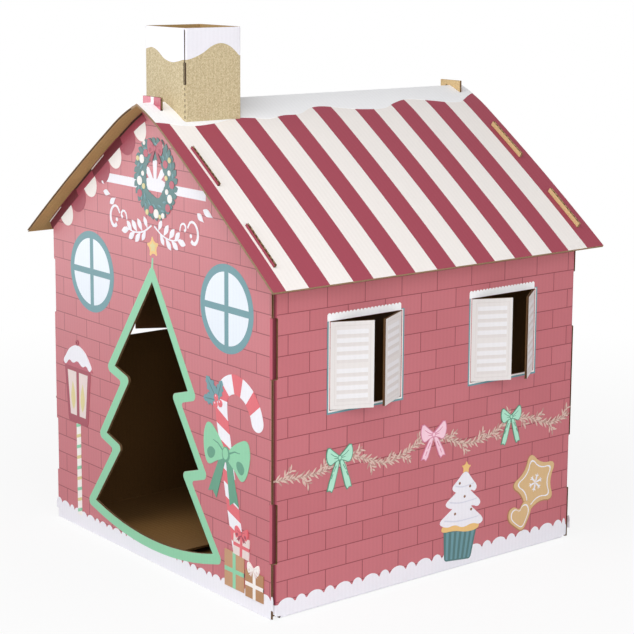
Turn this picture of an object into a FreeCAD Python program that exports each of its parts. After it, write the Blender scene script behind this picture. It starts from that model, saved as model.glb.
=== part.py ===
# Cardboard house: six folded and cut sheets of corrugated board that slot together.
#
# Millimetres. X runs across the front, Y from the front to the back, Z up.
# The origin lies on the ground, under the middle of the roof sheet.
# Every sheet is one body, drawn in its folded form: outlines are padded by the
# board's thickness, folds are arcs, and slots and openings are pocketed.

import os

import FreeCAD
import Part
import Sketcher

# ---------------------------------------------------------------- driving sizes

SIZES = [
    # the board
    ("board", 3.0),                    # thickness of the corrugated board
    ("fold_inside", 0.6),              # inside radius of every fold
    ("play", 0.4),                     # clearance on each side of a tab in its slot
    ("rest_gap", 0.2),                 # clearance between two sheets that lie together
    # the walls
    ("house_width", 500.0),            # over the outer faces of the side walls
    ("house_depth", 505.0),            # over the outer faces of the front and back walls
    ("side_height", 423.4),            # ground to the top edge of a side wall
    ("flange_width", 55.0),            # strip of a side wall folded behind a gable wall
    ("corner_tab_height", 73.0),
    ("corner_tab_length", 34.0),       # how far a corner tab reaches into the house
    ("low_tab_z", 69.0),               # bottom of the lower corner tabs
    ("high_tab_z", 293.0),             # bottom of the upper corner tabs
    ("corner_slot_reach", 4.0),        # slot on the side wall, from the flange's face
    ("slot_end_radius", 1.8),          # rounding of a corner slot's ends
    ("corner_bite_width", 7.0),        # small bite at the foot of each corner fold
    ("corner_bite_height", 9.0),
    # the floor flaps of the side walls
    ("flap_lap", 12.0),                # how far each flap reaches past the middle
    ("flap_end_gap", 6.0),             # flap's ends to the flanges
    ("left_flap_lift", 2.4),           # degrees: the left flap springs up onto the right one
    ("right_flap_lift", 0.0),          # degrees: the right flap lies flat
    # the windows and their shutters
    ("first_window_y", 85.0),          # front of the house to the first window
    ("second_window_y", 315.0),        # front of the house to the second window
    ("window_width", 112.0),
    ("window_sill_z", 243.5),
    ("window_height", 109.0),
    ("shutter_slit", 1.0),             # cut line around each shutter
    ("first_front_shutter", 24.0),     # degrees that each shutter is folded outwards
    ("first_back_shutter", 29.0),
    ("second_front_shutter", 25.0),
    ("second_back_shutter", 37.0),
    # the roof
    ("wall_pitch", 37.8),              # degrees: the roof's slope over the side walls
    ("bow_radius", 3750.0),            # the slopes bow outwards by this much
    ("shoulder_radius", 280.0),        # and by more beside the ridge's crease
    ("shoulder_reach", 11.0),          # past the chimney's sides to where the bow eases
    ("gable_inset", 3.0),              # a gable wall's upright edges to the side walls' faces
    ("eave_overhang", 30.0),           # past the side walls
    ("front_overhang", 22.0),
    ("back_overhang", 18.0),
    ("roof_tab_length", 69.0),         # along the slope
    ("high_roof_tab_x", 112.7),        # level distance from the ridge to a tab's middle
    ("low_roof_tab_x", 223.7),
    ("front_tab_rise", 3.5),           # how far the tabs stand out of the roof
    ("back_tab_rise", 6.0),
    ("ridge_tab_width", 40.0),
    ("ridge_tab_rise", 7.5),           # above the ridge
    # the door: a fir tree in three tiers on a curved sill
    ("door_shift", -9.5),              # middle of the tree from the middle of the wall
    ("door_tip_shift", 6.0),           # the tree's tip from the tree's own middle
    ("door_tip_z", 371.0),
    ("tier_1_half_width", 84.5),
    ("tier_1_z", 245.0),
    ("notch_1_half_width", 48.0),
    ("notch_1_z", 234.5),
    ("tier_2_half_width", 107.0),
    ("tier_2_z", 149.5),
    ("notch_2_half_width", 69.5),
    ("notch_2_z", 138.0),
    ("tier_3_half_width", 137.0),
    ("tier_3_z", 49.0),
    ("door_sill_radius", 500.0),
    ("notch_radius", 6.0),
    # the chimney
    ("chimney_width", 88.0),           # across the ridge
    ("chimney_depth", 86.0),           # along the ridge
    ("chimney_shift", 0.5),          # middle of the chimney from the ridge
    ("chimney_y", 19.0),               # front of the house to the chimney
    ("chimney_rise", 93.0),            # above the ridge
    ("chimney_tab_width", 40.0),
    ("chimney_tab_drop", 14.0),        # how far the tabs reach under the roof's surface
    ("chimney_slit_width", 1.6),       # gap that is left open at the front right corner
    ("chimney_slit_height", 27.0),
    ("chimney_slit_drop", 42.0),       # chimney top to the gap
]

# Places that follow from the driving sizes, each a formula over them.
PLACES = [
    ("half_width", "Sizes.house_width / 2"),
    ("roof_length", "Sizes.house_depth + Sizes.front_overhang + Sizes.back_overhang"),
    ("front_y", "Sizes.front_overhang - roof_length / 2"),
    ("back_y", "roof_length / 2 - Sizes.back_overhang"),
    ("fold_outside", "Sizes.board + Sizes.fold_inside"),
    # from the roof's upper face down to the gables' edges
    ("roof_skin", "Sizes.board + Sizes.rest_gap"),
    # the centre that the right slope bows about; the gable's edge passes the wall's top
    ("bow_x", "half_width - (Sizes.bow_radius - roof_skin) * sin(Sizes.wall_pitch * 1deg)"),
    ("bow_z", "Sizes.side_height"
              " - (Sizes.bow_radius - roof_skin) * cos(Sizes.wall_pitch * 1deg)"),
    # the tighter bow beside the ridge, which meets the other one smoothly
    ("shoulder_x", "Sizes.chimney_width / 2 + Sizes.shoulder_reach"),
    ("shoulder_sin", "(shoulder_x - bow_x) / Sizes.bow_radius"),
    ("shoulder_cos", "sqrt(1 - shoulder_sin * shoulder_sin)"),
    ("crown_x", "bow_x + (Sizes.bow_radius - Sizes.shoulder_radius) * shoulder_sin"),
    ("crown_z", "bow_z + (Sizes.bow_radius - Sizes.shoulder_radius) * shoulder_cos"),
    ("shoulder_z", "crown_z + Sizes.shoulder_radius * shoulder_cos"),
    # where the two slopes meet in the ridge's crease
    ("ridge_z", "crown_z + sqrt(Sizes.shoulder_radius * Sizes.shoulder_radius"
                " - crown_x * crown_x)"),
    ("gable_edge_x", "half_width - Sizes.gable_inset"),
    ("gable_edge_z", "bow_z + sqrt((Sizes.bow_radius - roof_skin)"
                     " * (Sizes.bow_radius - roof_skin)"
                     " - (gable_edge_x - bow_x) * (gable_edge_x - bow_x))"),
    ("eave_x", "half_width + Sizes.eave_overhang"),
    ("eave_sin", "(eave_x - bow_x) / Sizes.bow_radius"),
    ("eave_cos", "sqrt(1 - eave_sin * eave_sin)"),
    # the roof's slope at the middle of each tab
    ("high_tab_sin", "(Sizes.high_roof_tab_x - bow_x) / Sizes.bow_radius"),
    ("high_tab_cos", "sqrt(1 - high_tab_sin * high_tab_sin)"),
    ("low_tab_sin", "(Sizes.low_roof_tab_x - bow_x) / Sizes.bow_radius"),
    ("low_tab_cos", "sqrt(1 - low_tab_sin * low_tab_sin)"),
    ("flange_front_y", "front_y + Sizes.board + Sizes.rest_gap"),
    ("flange_back_y", "back_y - Sizes.board - Sizes.rest_gap"),
    # a corner tab's fold starts here, so that its outer face runs behind the side wall
    ("tab_fold_x", "half_width - Sizes.board - Sizes.play - fold_outside"),
    ("slot_depth", "2 * Sizes.board + 2 * Sizes.play"),
    ("leaf_width", "Sizes.window_width / 2 - 1.5 * Sizes.shutter_slit"),
    ("leaf_height", "Sizes.window_height - 2 * Sizes.shutter_slit"),
    ("chimney_left_x", "Sizes.chimney_shift - Sizes.chimney_width / 2"),
    ("chimney_right_x", "Sizes.chimney_shift + Sizes.chimney_width / 2"),
    ("chimney_front_y", "front_y + Sizes.chimney_y"),
    ("chimney_back_y", "chimney_front_y + Sizes.chimney_depth"),
    ("chimney_top_z", "ridge_z + Sizes.chimney_rise"),
    ("chimney_middle_y", "chimney_front_y + Sizes.chimney_depth / 2"),
]

PLACE_NAMES = {name for name, formula in PLACES}
SIZE_NAMES = {name for name, value in SIZES}

doc = FreeCAD.newDocument("CardboardHouse")


def fill_sizes():
    """The spreadsheet of driving dimensions, one alias to a row."""
    sheet = doc.addObject("Spreadsheet::Sheet", "Sizes")
    for row, (name, value) in enumerate(SIZES, start=1):
        sheet.set("A%d" % row, name)
        sheet.set("B%d" % row, str(value))
        sheet.setAlias("B%d" % row, name)
    doc.recompute()


def fill_places():
    """The second spreadsheet, with the places worked out from the driving sizes."""
    sheet = doc.addObject("Spreadsheet::Sheet", "Places")
    for row, (name, formula) in enumerate(PLACES, start=1):
        sheet.set("A%d" % row, name)
        sheet.set("B%d" % row, "=" + formula)
        sheet.setAlias("B%d" % row, name)
        doc.recompute()
    return sheet


fill_sizes()
places = fill_places()


def full(text):
    """A formula with every size and place name led by its sheet's name."""
    words = []
    word = ""
    for letter in text + " ":
        if letter.isalnum() or letter == "_":
            word += letter
            continue
        if word in SIZE_NAMES:
            word = "Sizes." + word
        elif word in PLACE_NAMES:
            word = "Places." + word
        words.append(word + letter)
        word = ""
    return "".join(words).strip()


def number(text):
    """The present value of a formula, in millimetres or degrees."""
    value = places.evalExpression(full(text))
    return float(getattr(value, "Value", value))


# ---------------------------------------------------------------- sketch helpers

def new_body(label):
    body = doc.addObject("PartDesign::Body", label)
    body.Label = label
    return body


def origin_plane(body, role):
    return next(plane for plane in body.Origin.OriginFeatures if plane.Role == role)


def new_sketch(body, name, role, offset="0"):
    """A sketch on one of the body's own origin planes, moved along its normal."""
    sketch = body.newObject("Sketcher::SketchObject", name)
    sketch.AttachmentSupport = (origin_plane(body, role), [""])
    sketch.MapMode = "FlatFace"
    sketch.setExpression("AttachmentOffset.Base.z", full(offset))
    return sketch


def pin(sketch, geometry, end, corner):
    """Hold one end of a line or arc at a corner given by two formulas.

    The sketch's origin is point 1 of geometry -1; an end is 1 (start) or 2 (finish).
    """
    for kind, formula in zip(("DistanceX", "DistanceY"), corner):
        constraint = Sketcher.Constraint(kind, -1, 1, geometry, end, number(formula))
        index = sketch.addConstraint(constraint)
        sketch.setExpression("Constraints[%d]" % index, full(formula))


def draw_loop(sketch, corners, arcs=None):
    """A closed outline through the corners; arcs maps a side to (radius, centre)."""
    arcs = arcs or {}
    points = [FreeCAD.Vector(number(x), number(y), 0) for x, y in corners]
    sides = []
    for side, start in enumerate(points):
        finish = points[(side + 1) % len(points)]
        if side not in arcs:
            geometry = sketch.addGeometry(Part.LineSegment(start, finish), False)
            sides.append((geometry, 1, 2))
            continue
        radius, centre_corner = arcs[side]
        centre = FreeCAD.Vector(number(centre_corner[0]), number(centre_corner[1]), 0)
        outwards = ((start + finish) * 0.5 - centre).normalize()
        middle = centre + outwards * number(radius)
        geometry = sketch.addGeometry(Part.Arc(start, middle, finish), False)
        drawn_forwards = sketch.getPoint(geometry, 1).isEqual(start, 1e-6)
        ends = (1, 2) if drawn_forwards else (2, 1)
        sides.append((geometry,) + ends)
        index = sketch.addConstraint(Sketcher.Constraint("Radius", geometry, number(radius)))
        sketch.setExpression("Constraints[%d]" % index, full(radius))
    for side, (geometry, first, last) in enumerate(sides):
        following, following_first, following_last = sides[(side + 1) % len(sides)]
        sketch.addConstraint(
            Sketcher.Constraint("Coincident", geometry, last, following, following_first))
        pin(sketch, geometry, first, corners[side])


def draw_box(sketch, left, right, low, high):
    draw_loop(sketch, [(left, low), (right, low), (right, high), (left, high)])


def pad(body, name, sketch, length):
    feature = body.newObject("PartDesign::Pad", name)
    feature.Profile = sketch
    feature.setExpression("Length", full(length))
    sketch.Visibility = False
    doc.recompute()
    return feature


def pocket(body, name, sketch, length):
    """Cut away from the sketch, against its normal, and make sure that it cut."""
    before = body.Shape.Volume
    feature = body.newObject("PartDesign::Pocket", name)
    feature.Profile = sketch
    feature.setExpression("Length", full(length))
    sketch.Visibility = False
    doc.recompute()
    if not body.Shape.Volume < before - 1e-3:
        raise RuntimeError("%s of %s cut nothing" % (name, body.Label))
    return feature


# ---------------------------------------------------------------- gable walls

def eave_corner(side, depth):
    """The end of a slope, at a depth under the roof's upper face."""
    return ("%d * (bow_x + (bow_radius - (%s)) * eave_sin)" % (side, depth),
            "bow_z + (bow_radius - (%s)) * eave_cos" % depth)


def shoulder_corner(side, depth):
    """Where the two bows of a slope meet."""
    return ("%d * (crown_x + (shoulder_radius - (%s)) * shoulder_sin)" % (side, depth),
            "crown_z + (shoulder_radius - (%s)) * shoulder_cos" % depth)


def ridge_corner(depth):
    reach = "(shoulder_radius - (%s))" % depth
    return "0", "crown_z + sqrt(%s * %s - crown_x * crown_x)" % (reach, reach)


def bow_arc(side, depth):
    return "bow_radius - (%s)" % depth, ("%d * bow_x" % side, "bow_z")


def shoulder_arc(side, depth):
    return "shoulder_radius - (%s)" % depth, ("%d * crown_x" % side, "crown_z")


def tab_corner(side, tab, along, depth):
    """A corner of a tab on a slope, from the tab's middle on the roof's upper face."""
    reach = "(bow_radius - (%s))" % depth
    x = "%d * (bow_x + %s * %s_sin + (%s) * %s_cos)" % (side, reach, tab, along, tab)
    z = "bow_z + %s * %s_cos - (%s) * %s_sin" % (reach, tab, along, tab)
    return x, z


def draw_slope_tabs(sketch, rise):
    """Two tabs on each sloping edge, standing a little out of the roof."""
    for side in (-1, 1):
        for tab in ("high_tab", "low_tab"):
            draw_loop(sketch, [
                tab_corner(side, tab, along, depth) for along, depth in (
                    ("-roof_tab_length / 2", "roof_skin + board"),
                    ("roof_tab_length / 2", "roof_skin + board"),
                    ("roof_tab_length / 2", "-(%s)" % rise),
                    ("-roof_tab_length / 2", "-(%s)" % rise))
            ])


def gable_wall(label, sheet_front_y, inwards, tab_rise):
    """A gable wall; inwards is +1 on the front wall and -1 on the back wall."""
    body = new_body(label)
    sheet_back_y = "%s + board" % sheet_front_y

    # The XZ plane looks towards the front, so its offset is minus Y.
    outline = new_sketch(body, label + "_outline", "XZ_Plane", "-(%s)" % sheet_back_y)
    draw_loop(outline, [
        ("-gable_edge_x", "0"),
        ("gable_edge_x", "0"),
        ("gable_edge_x", "gable_edge_z"),
        shoulder_corner(1, "roof_skin"),
        ridge_corner("roof_skin"),
        shoulder_corner(-1, "roof_skin"),
        ("-gable_edge_x", "gable_edge_z"),
    ], arcs={2: bow_arc(1, "roof_skin"), 3: shoulder_arc(1, "roof_skin"),
             4: shoulder_arc(-1, "roof_skin"), 5: bow_arc(-1, "roof_skin")})
    pad(body, label + "_sheet", outline, "board")

    tabs = new_sketch(body, label + "_slope_tabs_outline", "XZ_Plane", "-(%s)" % sheet_back_y)
    draw_slope_tabs(tabs, tab_rise)
    draw_box(tabs, "-ridge_tab_width / 2", "ridge_tab_width / 2",
             "shoulder_z", "ridge_z + ridge_tab_rise")
    pad(body, label + "_roof_tabs", tabs, "board")

    # At each corner tab the sheet stops short and folds back into the house.
    outer_y = sheet_front_y if inwards > 0 else sheet_back_y
    bend_y = "%s + %d * fold_outside" % (outer_y, inwards)
    inner_y = "%s + %d * board" % (outer_y, inwards)
    leg_end_y = "%s + %d * corner_tab_length" % (outer_y, inwards)
    for level in ("low_tab_z", "high_tab_z"):
        notch = new_sketch(body, "%s_%s_notch" % (label, level), "XZ_Plane",
                           "-(%s)" % sheet_front_y)
        for side in (-1, 1):
            near_x = "%d * tab_fold_x" % side
            far_x = "%d * (half_width + board)" % side
            left, right = (far_x, near_x) if side < 0 else (near_x, far_x)
            draw_box(notch, left, right, "%s - play" % level,
                     "%s + corner_tab_height + play" % level)
        pocket(body, "%s_%s_cut" % (label, level), notch, "board")

        profile = new_sketch(body, "%s_%s_profile" % (label, level), "XY_Plane", level)
        for side in (-1, 1):
            root_x = "%d * (tab_fold_x - board)" % side
            bend_x = "%d * tab_fold_x" % side
            outer_x = "%d * (tab_fold_x + fold_outside)" % side
            inner_x = "%d * (tab_fold_x + fold_inside)" % side
            centre = (bend_x, bend_y)
            draw_loop(profile, [
                (root_x, outer_y), (bend_x, outer_y), (outer_x, bend_y), (outer_x, leg_end_y),
                (inner_x, leg_end_y), (inner_x, bend_y), (bend_x, inner_y), (root_x, inner_y),
            ], arcs={1: ("fold_outside", centre), 5: ("fold_inside", centre)})
        pad(body, "%s_%s_tabs" % (label, level), profile, "corner_tab_height")
    return body


def tree_corner(side, half_width, z):
    return "door_shift + %d * %s" % (side, half_width), z


def cut_door(body):
    """The tree-shaped door, with a curved sill and rounded notches."""
    right = [tree_corner(1, half, z) for half, z in (
        ("tier_3_half_width", "tier_3_z"),
        ("notch_2_half_width", "notch_2_z"),
        ("tier_2_half_width", "tier_2_z"),
        ("notch_1_half_width", "notch_1_z"),
        ("tier_1_half_width", "tier_1_z"),
    )]
    left = [tree_corner(-1, half, z) for half, z in (
        ("tier_1_half_width", "tier_1_z"),
        ("notch_1_half_width", "notch_1_z"),
        ("tier_2_half_width", "tier_2_z"),
        ("notch_2_half_width", "notch_2_z"),
        ("tier_3_half_width", "tier_3_z"),
    )]
    tip = [("door_shift + door_tip_shift", "door_tip_z")]
    corners = right + tip + left
    centre_z = "tier_3_z + sqrt(door_sill_radius ^ 2 - tier_3_half_width ^ 2)"
    sketch = new_sketch(body, "door_outline", "XZ_Plane", "-front_y")
    draw_loop(sketch, corners,
              arcs={len(corners) - 1: ("door_sill_radius", ("door_shift", centre_z))})
    door = pocket(body, "door", sketch, "board")

    names = []
    for half, z in (("notch_1_half_width", "notch_1_z"), ("notch_2_half_width", "notch_2_z")):
        for side in (-1, 1):
            x = number("door_shift + %d * %s" % (side, half))
            names += edges_through(door, x, number(z))
    rounding = body.newObject("PartDesign::Fillet", "door_notch_rounding")
    rounding.Base = (door, names)
    rounding.setExpression("Radius", full("notch_radius"))
    doc.recompute()


def edges_through(feature, x, z):
    """Names of the edges that run along Y through the given X and Z."""
    found = []
    for index, edge in enumerate(feature.Shape.Edges, start=1):
        first, last = edge.Vertexes[0].Point, edge.Vertexes[-1].Point
        on_line = all(abs(p.x - x) < 1e-4 and abs(p.z - z) < 1e-4 for p in (first, last))
        if on_line:
            found.append("Edge%d" % index)
    return found


# ---------------------------------------------------------------- side walls

def draw_channel(sketch, side):
    """Plan of a side wall: the wall with a flange folded inwards at each end."""
    outer_x = "%d * half_width" % side
    inner_x = "%d * (half_width - board)" % side
    bend_x = "%d * (half_width - fold_outside)" % side
    edge_x = "%d * (half_width - flange_width)" % side
    front_bend_y = "flange_front_y + fold_outside"
    back_bend_y = "flange_back_y - fold_outside"
    front_centre = (bend_x, front_bend_y)
    back_centre = (bend_x, back_bend_y)
    draw_loop(sketch, [
        (edge_x, "flange_front_y"), (bend_x, "flange_front_y"),
        (outer_x, front_bend_y), (outer_x, back_bend_y),
        (bend_x, "flange_back_y"), (edge_x, "flange_back_y"),
        (edge_x, "flange_back_y - board"), (bend_x, "flange_back_y - board"),
        (inner_x, back_bend_y), (inner_x, front_bend_y),
        (bend_x, "flange_front_y + board"), (edge_x, "flange_front_y + board"),
    ], arcs={
        1: ("fold_outside", front_centre), 3: ("fold_outside", back_centre),
        7: ("fold_inside", back_centre), 9: ("fold_inside", front_centre),
    })


def draw_floor_flap(sketch, side, lift):
    """Section of the fold at the wall's foot and the floor flap behind it."""
    lift_sin = "sin(%s * 1deg)" % lift
    lift_cos = "cos(%s * 1deg)" % lift
    bend_x = "(half_width - fold_outside)"
    length = "(half_width + flap_lap - fold_outside)"
    centre = ("%d * %s" % (side, bend_x), "fold_outside")

    def bent(radius, along):
        x = "%d * (%s + (%s) * %s - (%s) * %s)" % (side, bend_x, radius, lift_sin, along, lift_cos)
        z = "fold_outside - (%s) * %s + (%s) * %s" % (radius, lift_cos, along, lift_sin)
        return x, z

    draw_loop(sketch, [
        ("%d * half_width" % side, "fold_outside"), bent("fold_outside", "0"),
        bent("fold_outside", length), bent("fold_inside", length),
        bent("fold_inside", "0"), ("%d * (half_width - board)" % side, "fold_outside"),
    ], arcs={0: ("fold_outside", centre), 4: ("fold_inside", centre)})


def draw_shutter(sketch, side, hinge_y, swing, angle):
    """Plan of one shutter: the fold at its hinge and the leaf, turned outwards."""
    turn_sin = "sin(%s * 1deg)" % angle
    turn_cos = "cos(%s * 1deg)" % angle

    def turned(radius, along):
        x = "%d * (half_width + fold_inside - (%s) * %s + (%s) * %s)" % (
            side, radius, turn_cos, along, turn_sin)
        y = "%s + %d * ((%s) * %s + (%s) * %s)" % (
            hinge_y, swing, radius, turn_sin, along, turn_cos)
        return x, y

    centre = ("%d * (half_width + fold_inside)" % side, hinge_y)
    draw_loop(sketch, [
        ("%d * half_width" % side, hinge_y), turned("fold_inside", "0"),
        turned("fold_inside", "leaf_width"), turned("fold_outside", "leaf_width"),
        turned("fold_outside", "0"), ("%d * (half_width - board)" % side, hinge_y),
    ], arcs={0: ("fold_inside", centre), 4: ("fold_outside", centre)})


def draw_corner_slot(sketch, tab_z, front):
    """One slot across a corner fold, open towards the gable wall, with rounded ends."""
    way = 1 if front else -1
    face_y = "flange_front_y" if front else "flange_back_y"
    mouth_y = "%s - %d * board" % (face_y, way)
    end_y = "%s + %d * corner_slot_reach" % (face_y, way)
    bend_y = "%s + %d * (corner_slot_reach - slot_end_radius)" % (face_y, way)
    low = "%s - play" % tab_z
    high = "%s + corner_tab_height + play" % tab_z
    low_bend = low + " + slot_end_radius"
    high_bend = high + " - slot_end_radius"
    draw_loop(sketch, [
        (mouth_y, low), (bend_y, low), (end_y, low_bend),
        (end_y, high_bend), (bend_y, high), (mouth_y, high),
    ], arcs={1: ("slot_end_radius", (bend_y, low_bend)),
             3: ("slot_end_radius", (bend_y, high_bend))})


def side_wall(label, side, lift):
    """A side wall; side is +1 on the right and -1 on the left."""
    body = new_body(label)
    plan = new_sketch(body, label + "_plan", "XY_Plane", "fold_outside")
    draw_channel(plan, side)
    pad(body, label + "_channel", plan, "side_height - fold_outside")

    # The YZ plane looks along +X and a pocket cuts towards -X.
    def side_sketch(name, depth):
        reach = "half_width + board" if side > 0 else "%s - half_width" % depth
        return new_sketch(body, "%s_%s" % (label, name), "YZ_Plane", reach)

    # Slots for the corner tabs of the gable walls.
    slots = side_sketch("corner_slots", "slot_depth")
    for level in ("low_tab_z", "high_tab_z"):
        for front in (True, False):
            draw_corner_slot(slots, level, front)
    pocket(body, label + "_slots", slots, "slot_depth + board")

    # A small bite at the foot of each corner fold, where three creases meet.
    bites = side_sketch("corner_bites", "fold_outside")
    for face_y, way in (("flange_front_y", 1), ("flange_back_y", -1)):
        draw_loop(bites, [
            ("%s - %d * board" % (face_y, way), "0"),
            ("%s + %d * corner_bite_width" % (face_y, way), "0"),
            ("%s - %d * board" % (face_y, way), "corner_bite_height"),
        ])
    pocket(body, label + "_bites", bites, "fold_outside + board")

    windows = side_sketch("window_outlines", "board")
    for start in ("first_window_y", "second_window_y"):
        draw_box(windows, "front_y + %s" % start, "front_y + %s + window_width" % start,
                 "window_sill_z", "window_sill_z + window_height")
    pocket(body, label + "_windows", windows, "2 * board")

    shutters = new_sketch(body, label + "_shutter_plan", "XY_Plane",
                          "window_sill_z + shutter_slit")
    for start, swing, angle in (
            ("front_y + first_window_y", 1, "first_front_shutter"),
            ("front_y + first_window_y + window_width", -1, "first_back_shutter"),
            ("front_y + second_window_y", 1, "second_front_shutter"),
            ("front_y + second_window_y + window_width", -1, "second_back_shutter")):
        draw_shutter(shutters, side, start, swing, angle)
    pad(body, label + "_shutters", shutters, "leaf_height")

    flap_back_y = "flange_back_y - board - flap_end_gap"
    flap = new_sketch(body, label + "_flap_section", "XZ_Plane", "-(%s)" % flap_back_y)
    draw_floor_flap(flap, side, lift)
    pad(body, label + "_floor_flap", flap,
        "flange_back_y - flange_front_y - 2 * (board + flap_end_gap)")
    return body


# ---------------------------------------------------------------- roof

def slot_sketch(body, name, side, tab):
    """A sketch on the roof's upper face at a tab's middle: X runs down the right slope."""
    sketch = new_sketch(body, name, "XY_Plane", "bow_z + bow_radius * %s_cos" % tab)
    pitch = "%d * asin(%s_sin)" % (side, tab)
    x, z = tab_corner(side, tab, "0", "0")
    sketch.AttachmentOffset = FreeCAD.Placement(
        FreeCAD.Vector(number(x), 0, number(z)),
        FreeCAD.Rotation(FreeCAD.Vector(0, 1, 0), number(pitch)))
    sketch.setExpression("AttachmentOffset.Base.x", full(x))
    sketch.setExpression("AttachmentOffset.Rotation.Angle", full(pitch))
    return sketch


def roof_sheet():
    body = new_body("roof")
    section = new_sketch(body, "roof_section", "XZ_Plane", "-roof_length / 2")
    draw_loop(section, [
        eave_corner(1, "0"), shoulder_corner(1, "0"), ridge_corner("0"),
        shoulder_corner(-1, "0"), eave_corner(-1, "0"),
        eave_corner(-1, "board"), shoulder_corner(-1, "board"), ridge_corner("board"),
        shoulder_corner(1, "board"), eave_corner(1, "board"),
    ], arcs={0: bow_arc(1, "0"), 1: shoulder_arc(1, "0"),
             2: shoulder_arc(-1, "0"), 3: bow_arc(-1, "0"),
             5: bow_arc(-1, "board"), 6: shoulder_arc(-1, "board"),
             7: shoulder_arc(1, "board"), 8: bow_arc(1, "board")})
    pad(body, "roof_folded", section, "roof_length")

    slot_rows = (("front_y - play", "front_y + board + play"),
                 ("back_y - board - play", "back_y + play"))
    reach = "roof_tab_length / 2 + play"
    for side, name in ((1, "right"), (-1, "left")):
        for tab in ("high_tab", "low_tab"):
            slots = slot_sketch(body, "roof_%s_%s_slots" % (name, tab), side, tab)
            for low, high in slot_rows:
                draw_box(slots, "-(%s)" % reach, reach, low, high)
            pocket(body, "roof_%s_%s_cut" % (name, tab), slots, "2 * board")

    ridge_slots = new_sketch(body, "ridge_slot_outlines", "XY_Plane", "ridge_z")
    for low, high in slot_rows:
        draw_box(ridge_slots, "-(ridge_tab_width / 2 + play)", "ridge_tab_width / 2 + play",
                 low, high)
    pocket(body, "ridge_slots", ridge_slots, "ridge_z - shoulder_z")

    chimney_slots = new_sketch(body, "chimney_slot_outlines", "XY_Plane", "ridge_z")
    low = "chimney_middle_y - chimney_tab_width / 2 - play"
    high = "chimney_middle_y + chimney_tab_width / 2 + play"
    draw_box(chimney_slots, "chimney_left_x - play", "chimney_left_x + board + play", low, high)
    draw_box(chimney_slots, "chimney_right_x - board - play", "chimney_right_x + play", low, high)
    pocket(body, "chimney_slots", chimney_slots, "ridge_z - shoulder_z + 2 * board")
    return body


# ---------------------------------------------------------------- chimney

def draw_tube_wall(sketch, inset, radius):
    """A rounded rectangle, inset from the chimney's outer faces."""
    left, right = "chimney_left_x + %s" % inset, "chimney_right_x - %s" % inset
    front, back = "chimney_front_y + %s" % inset, "chimney_back_y - %s" % inset
    left_bend, right_bend = left + " + " + radius, right + " - " + radius
    front_bend, back_bend = front + " + " + radius, back + " - " + radius
    draw_loop(sketch, [
        (left_bend, front), (right_bend, front), (right, front_bend), (right, back_bend),
        (right_bend, back), (left_bend, back), (left, back_bend), (left, front_bend),
    ], arcs={
        1: (radius, (right_bend, front_bend)), 3: (radius, (right_bend, back_bend)),
        5: (radius, (left_bend, back_bend)), 7: (radius, (left_bend, front_bend)),
    })


def chimney_sheet():
    body = new_body("chimney")
    # Below this height the whole tube is cut away to straddle the ridge.
    plan = new_sketch(body, "chimney_plan", "XY_Plane", "shoulder_z")
    draw_tube_wall(plan, "0", "fold_outside")
    draw_tube_wall(plan, "board", "fold_inside")
    pad(body, "chimney_tube", plan, "chimney_top_z - shoulder_z")

    straddle = new_sketch(body, "chimney_straddle", "XZ_Plane", "-(chimney_back_y + board)")
    foot_z = "shoulder_z - chimney_width"
    draw_loop(straddle, [
        shoulder_corner(1, "-rest_gap"), ridge_corner("-rest_gap"),
        shoulder_corner(-1, "-rest_gap"),
        ("-shoulder_x", foot_z), ("shoulder_x", foot_z),
    ], arcs={0: shoulder_arc(1, "-rest_gap"), 1: shoulder_arc(-1, "-rest_gap")})
    notch = body.newObject("PartDesign::Pocket", "chimney_notch")
    notch.Profile = straddle
    notch.Type = "ThroughAll"
    notch.Midplane = True
    doc.recompute()

    tab_low = "chimney_middle_y - chimney_tab_width / 2"
    tab_high = "chimney_middle_y + chimney_tab_width / 2"
    for name, low_x, high_x, outer_x in (
            ("left", "chimney_left_x", "chimney_left_x + board", "-chimney_left_x"),
            ("right", "chimney_right_x - board", "chimney_right_x", "chimney_right_x")):
        run = "(%s - crown_x)" % outer_x
        roof_z = "crown_z + sqrt(shoulder_radius * shoulder_radius - %s * %s)" % (run, run)
        tab = new_sketch(body, "chimney_%s_tab_plan" % name, "XY_Plane",
                         "%s - chimney_tab_drop" % roof_z)
        draw_box(tab, low_x, high_x, tab_low, tab_high)
        pad(body, "chimney_%s_tab" % name, tab, "chimney_tab_drop + 3 * board")

    slit = new_sketch(body, "chimney_slit_plan", "XY_Plane",
                      "chimney_top_z - chimney_slit_drop")
    draw_box(slit, "chimney_right_x - fold_outside - board", "chimney_right_x + board",
             "chimney_front_y + fold_outside / 2 - chimney_slit_width / 2",
             "chimney_front_y + fold_outside / 2 + chimney_slit_width / 2")
    pocket(body, "chimney_slit", slit, "chimney_slit_height")
    return body


# ---------------------------------------------------------------- build and export

front_wall = gable_wall("front_wall", "front_y", 1, "front_tab_rise")
cut_door(front_wall)
back_wall = gable_wall("back_wall", "back_y - board", -1, "back_tab_rise")
left_side_wall = side_wall("left_side_wall", -1, "left_flap_lift")
right_side_wall = side_wall("right_side_wall", 1, "right_flap_lift")
roof = roof_sheet()
chimney = chimney_sheet()
sheets = (front_wall, back_wall, left_side_wall, right_side_wall, roof, chimney)

doc.recompute()
for item in doc.Objects:
    if "Invalid" in item.State or "Error" in item.State:
        raise RuntimeError("%s did not compute" % item.Name)

os.makedirs("parts", exist_ok=True)
for sheet in sheets:
    if not sheet.Shape.isValid() or len(sheet.Shape.Solids) != 1:
        raise RuntimeError("%s is not one valid solid" % sheet.Label)
    sheet.Shape.exportStep("parts/%s.step" % sheet.Label)
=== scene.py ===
"""A house of printed corrugated board: six folded and slotted sheets with their print."""

from math import acos, asin, atan2, cos, degrees, hypot, pi, radians, sin, sqrt, tan

import bmesh
import bpy
from mathutils import Matrix, Vector


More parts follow.
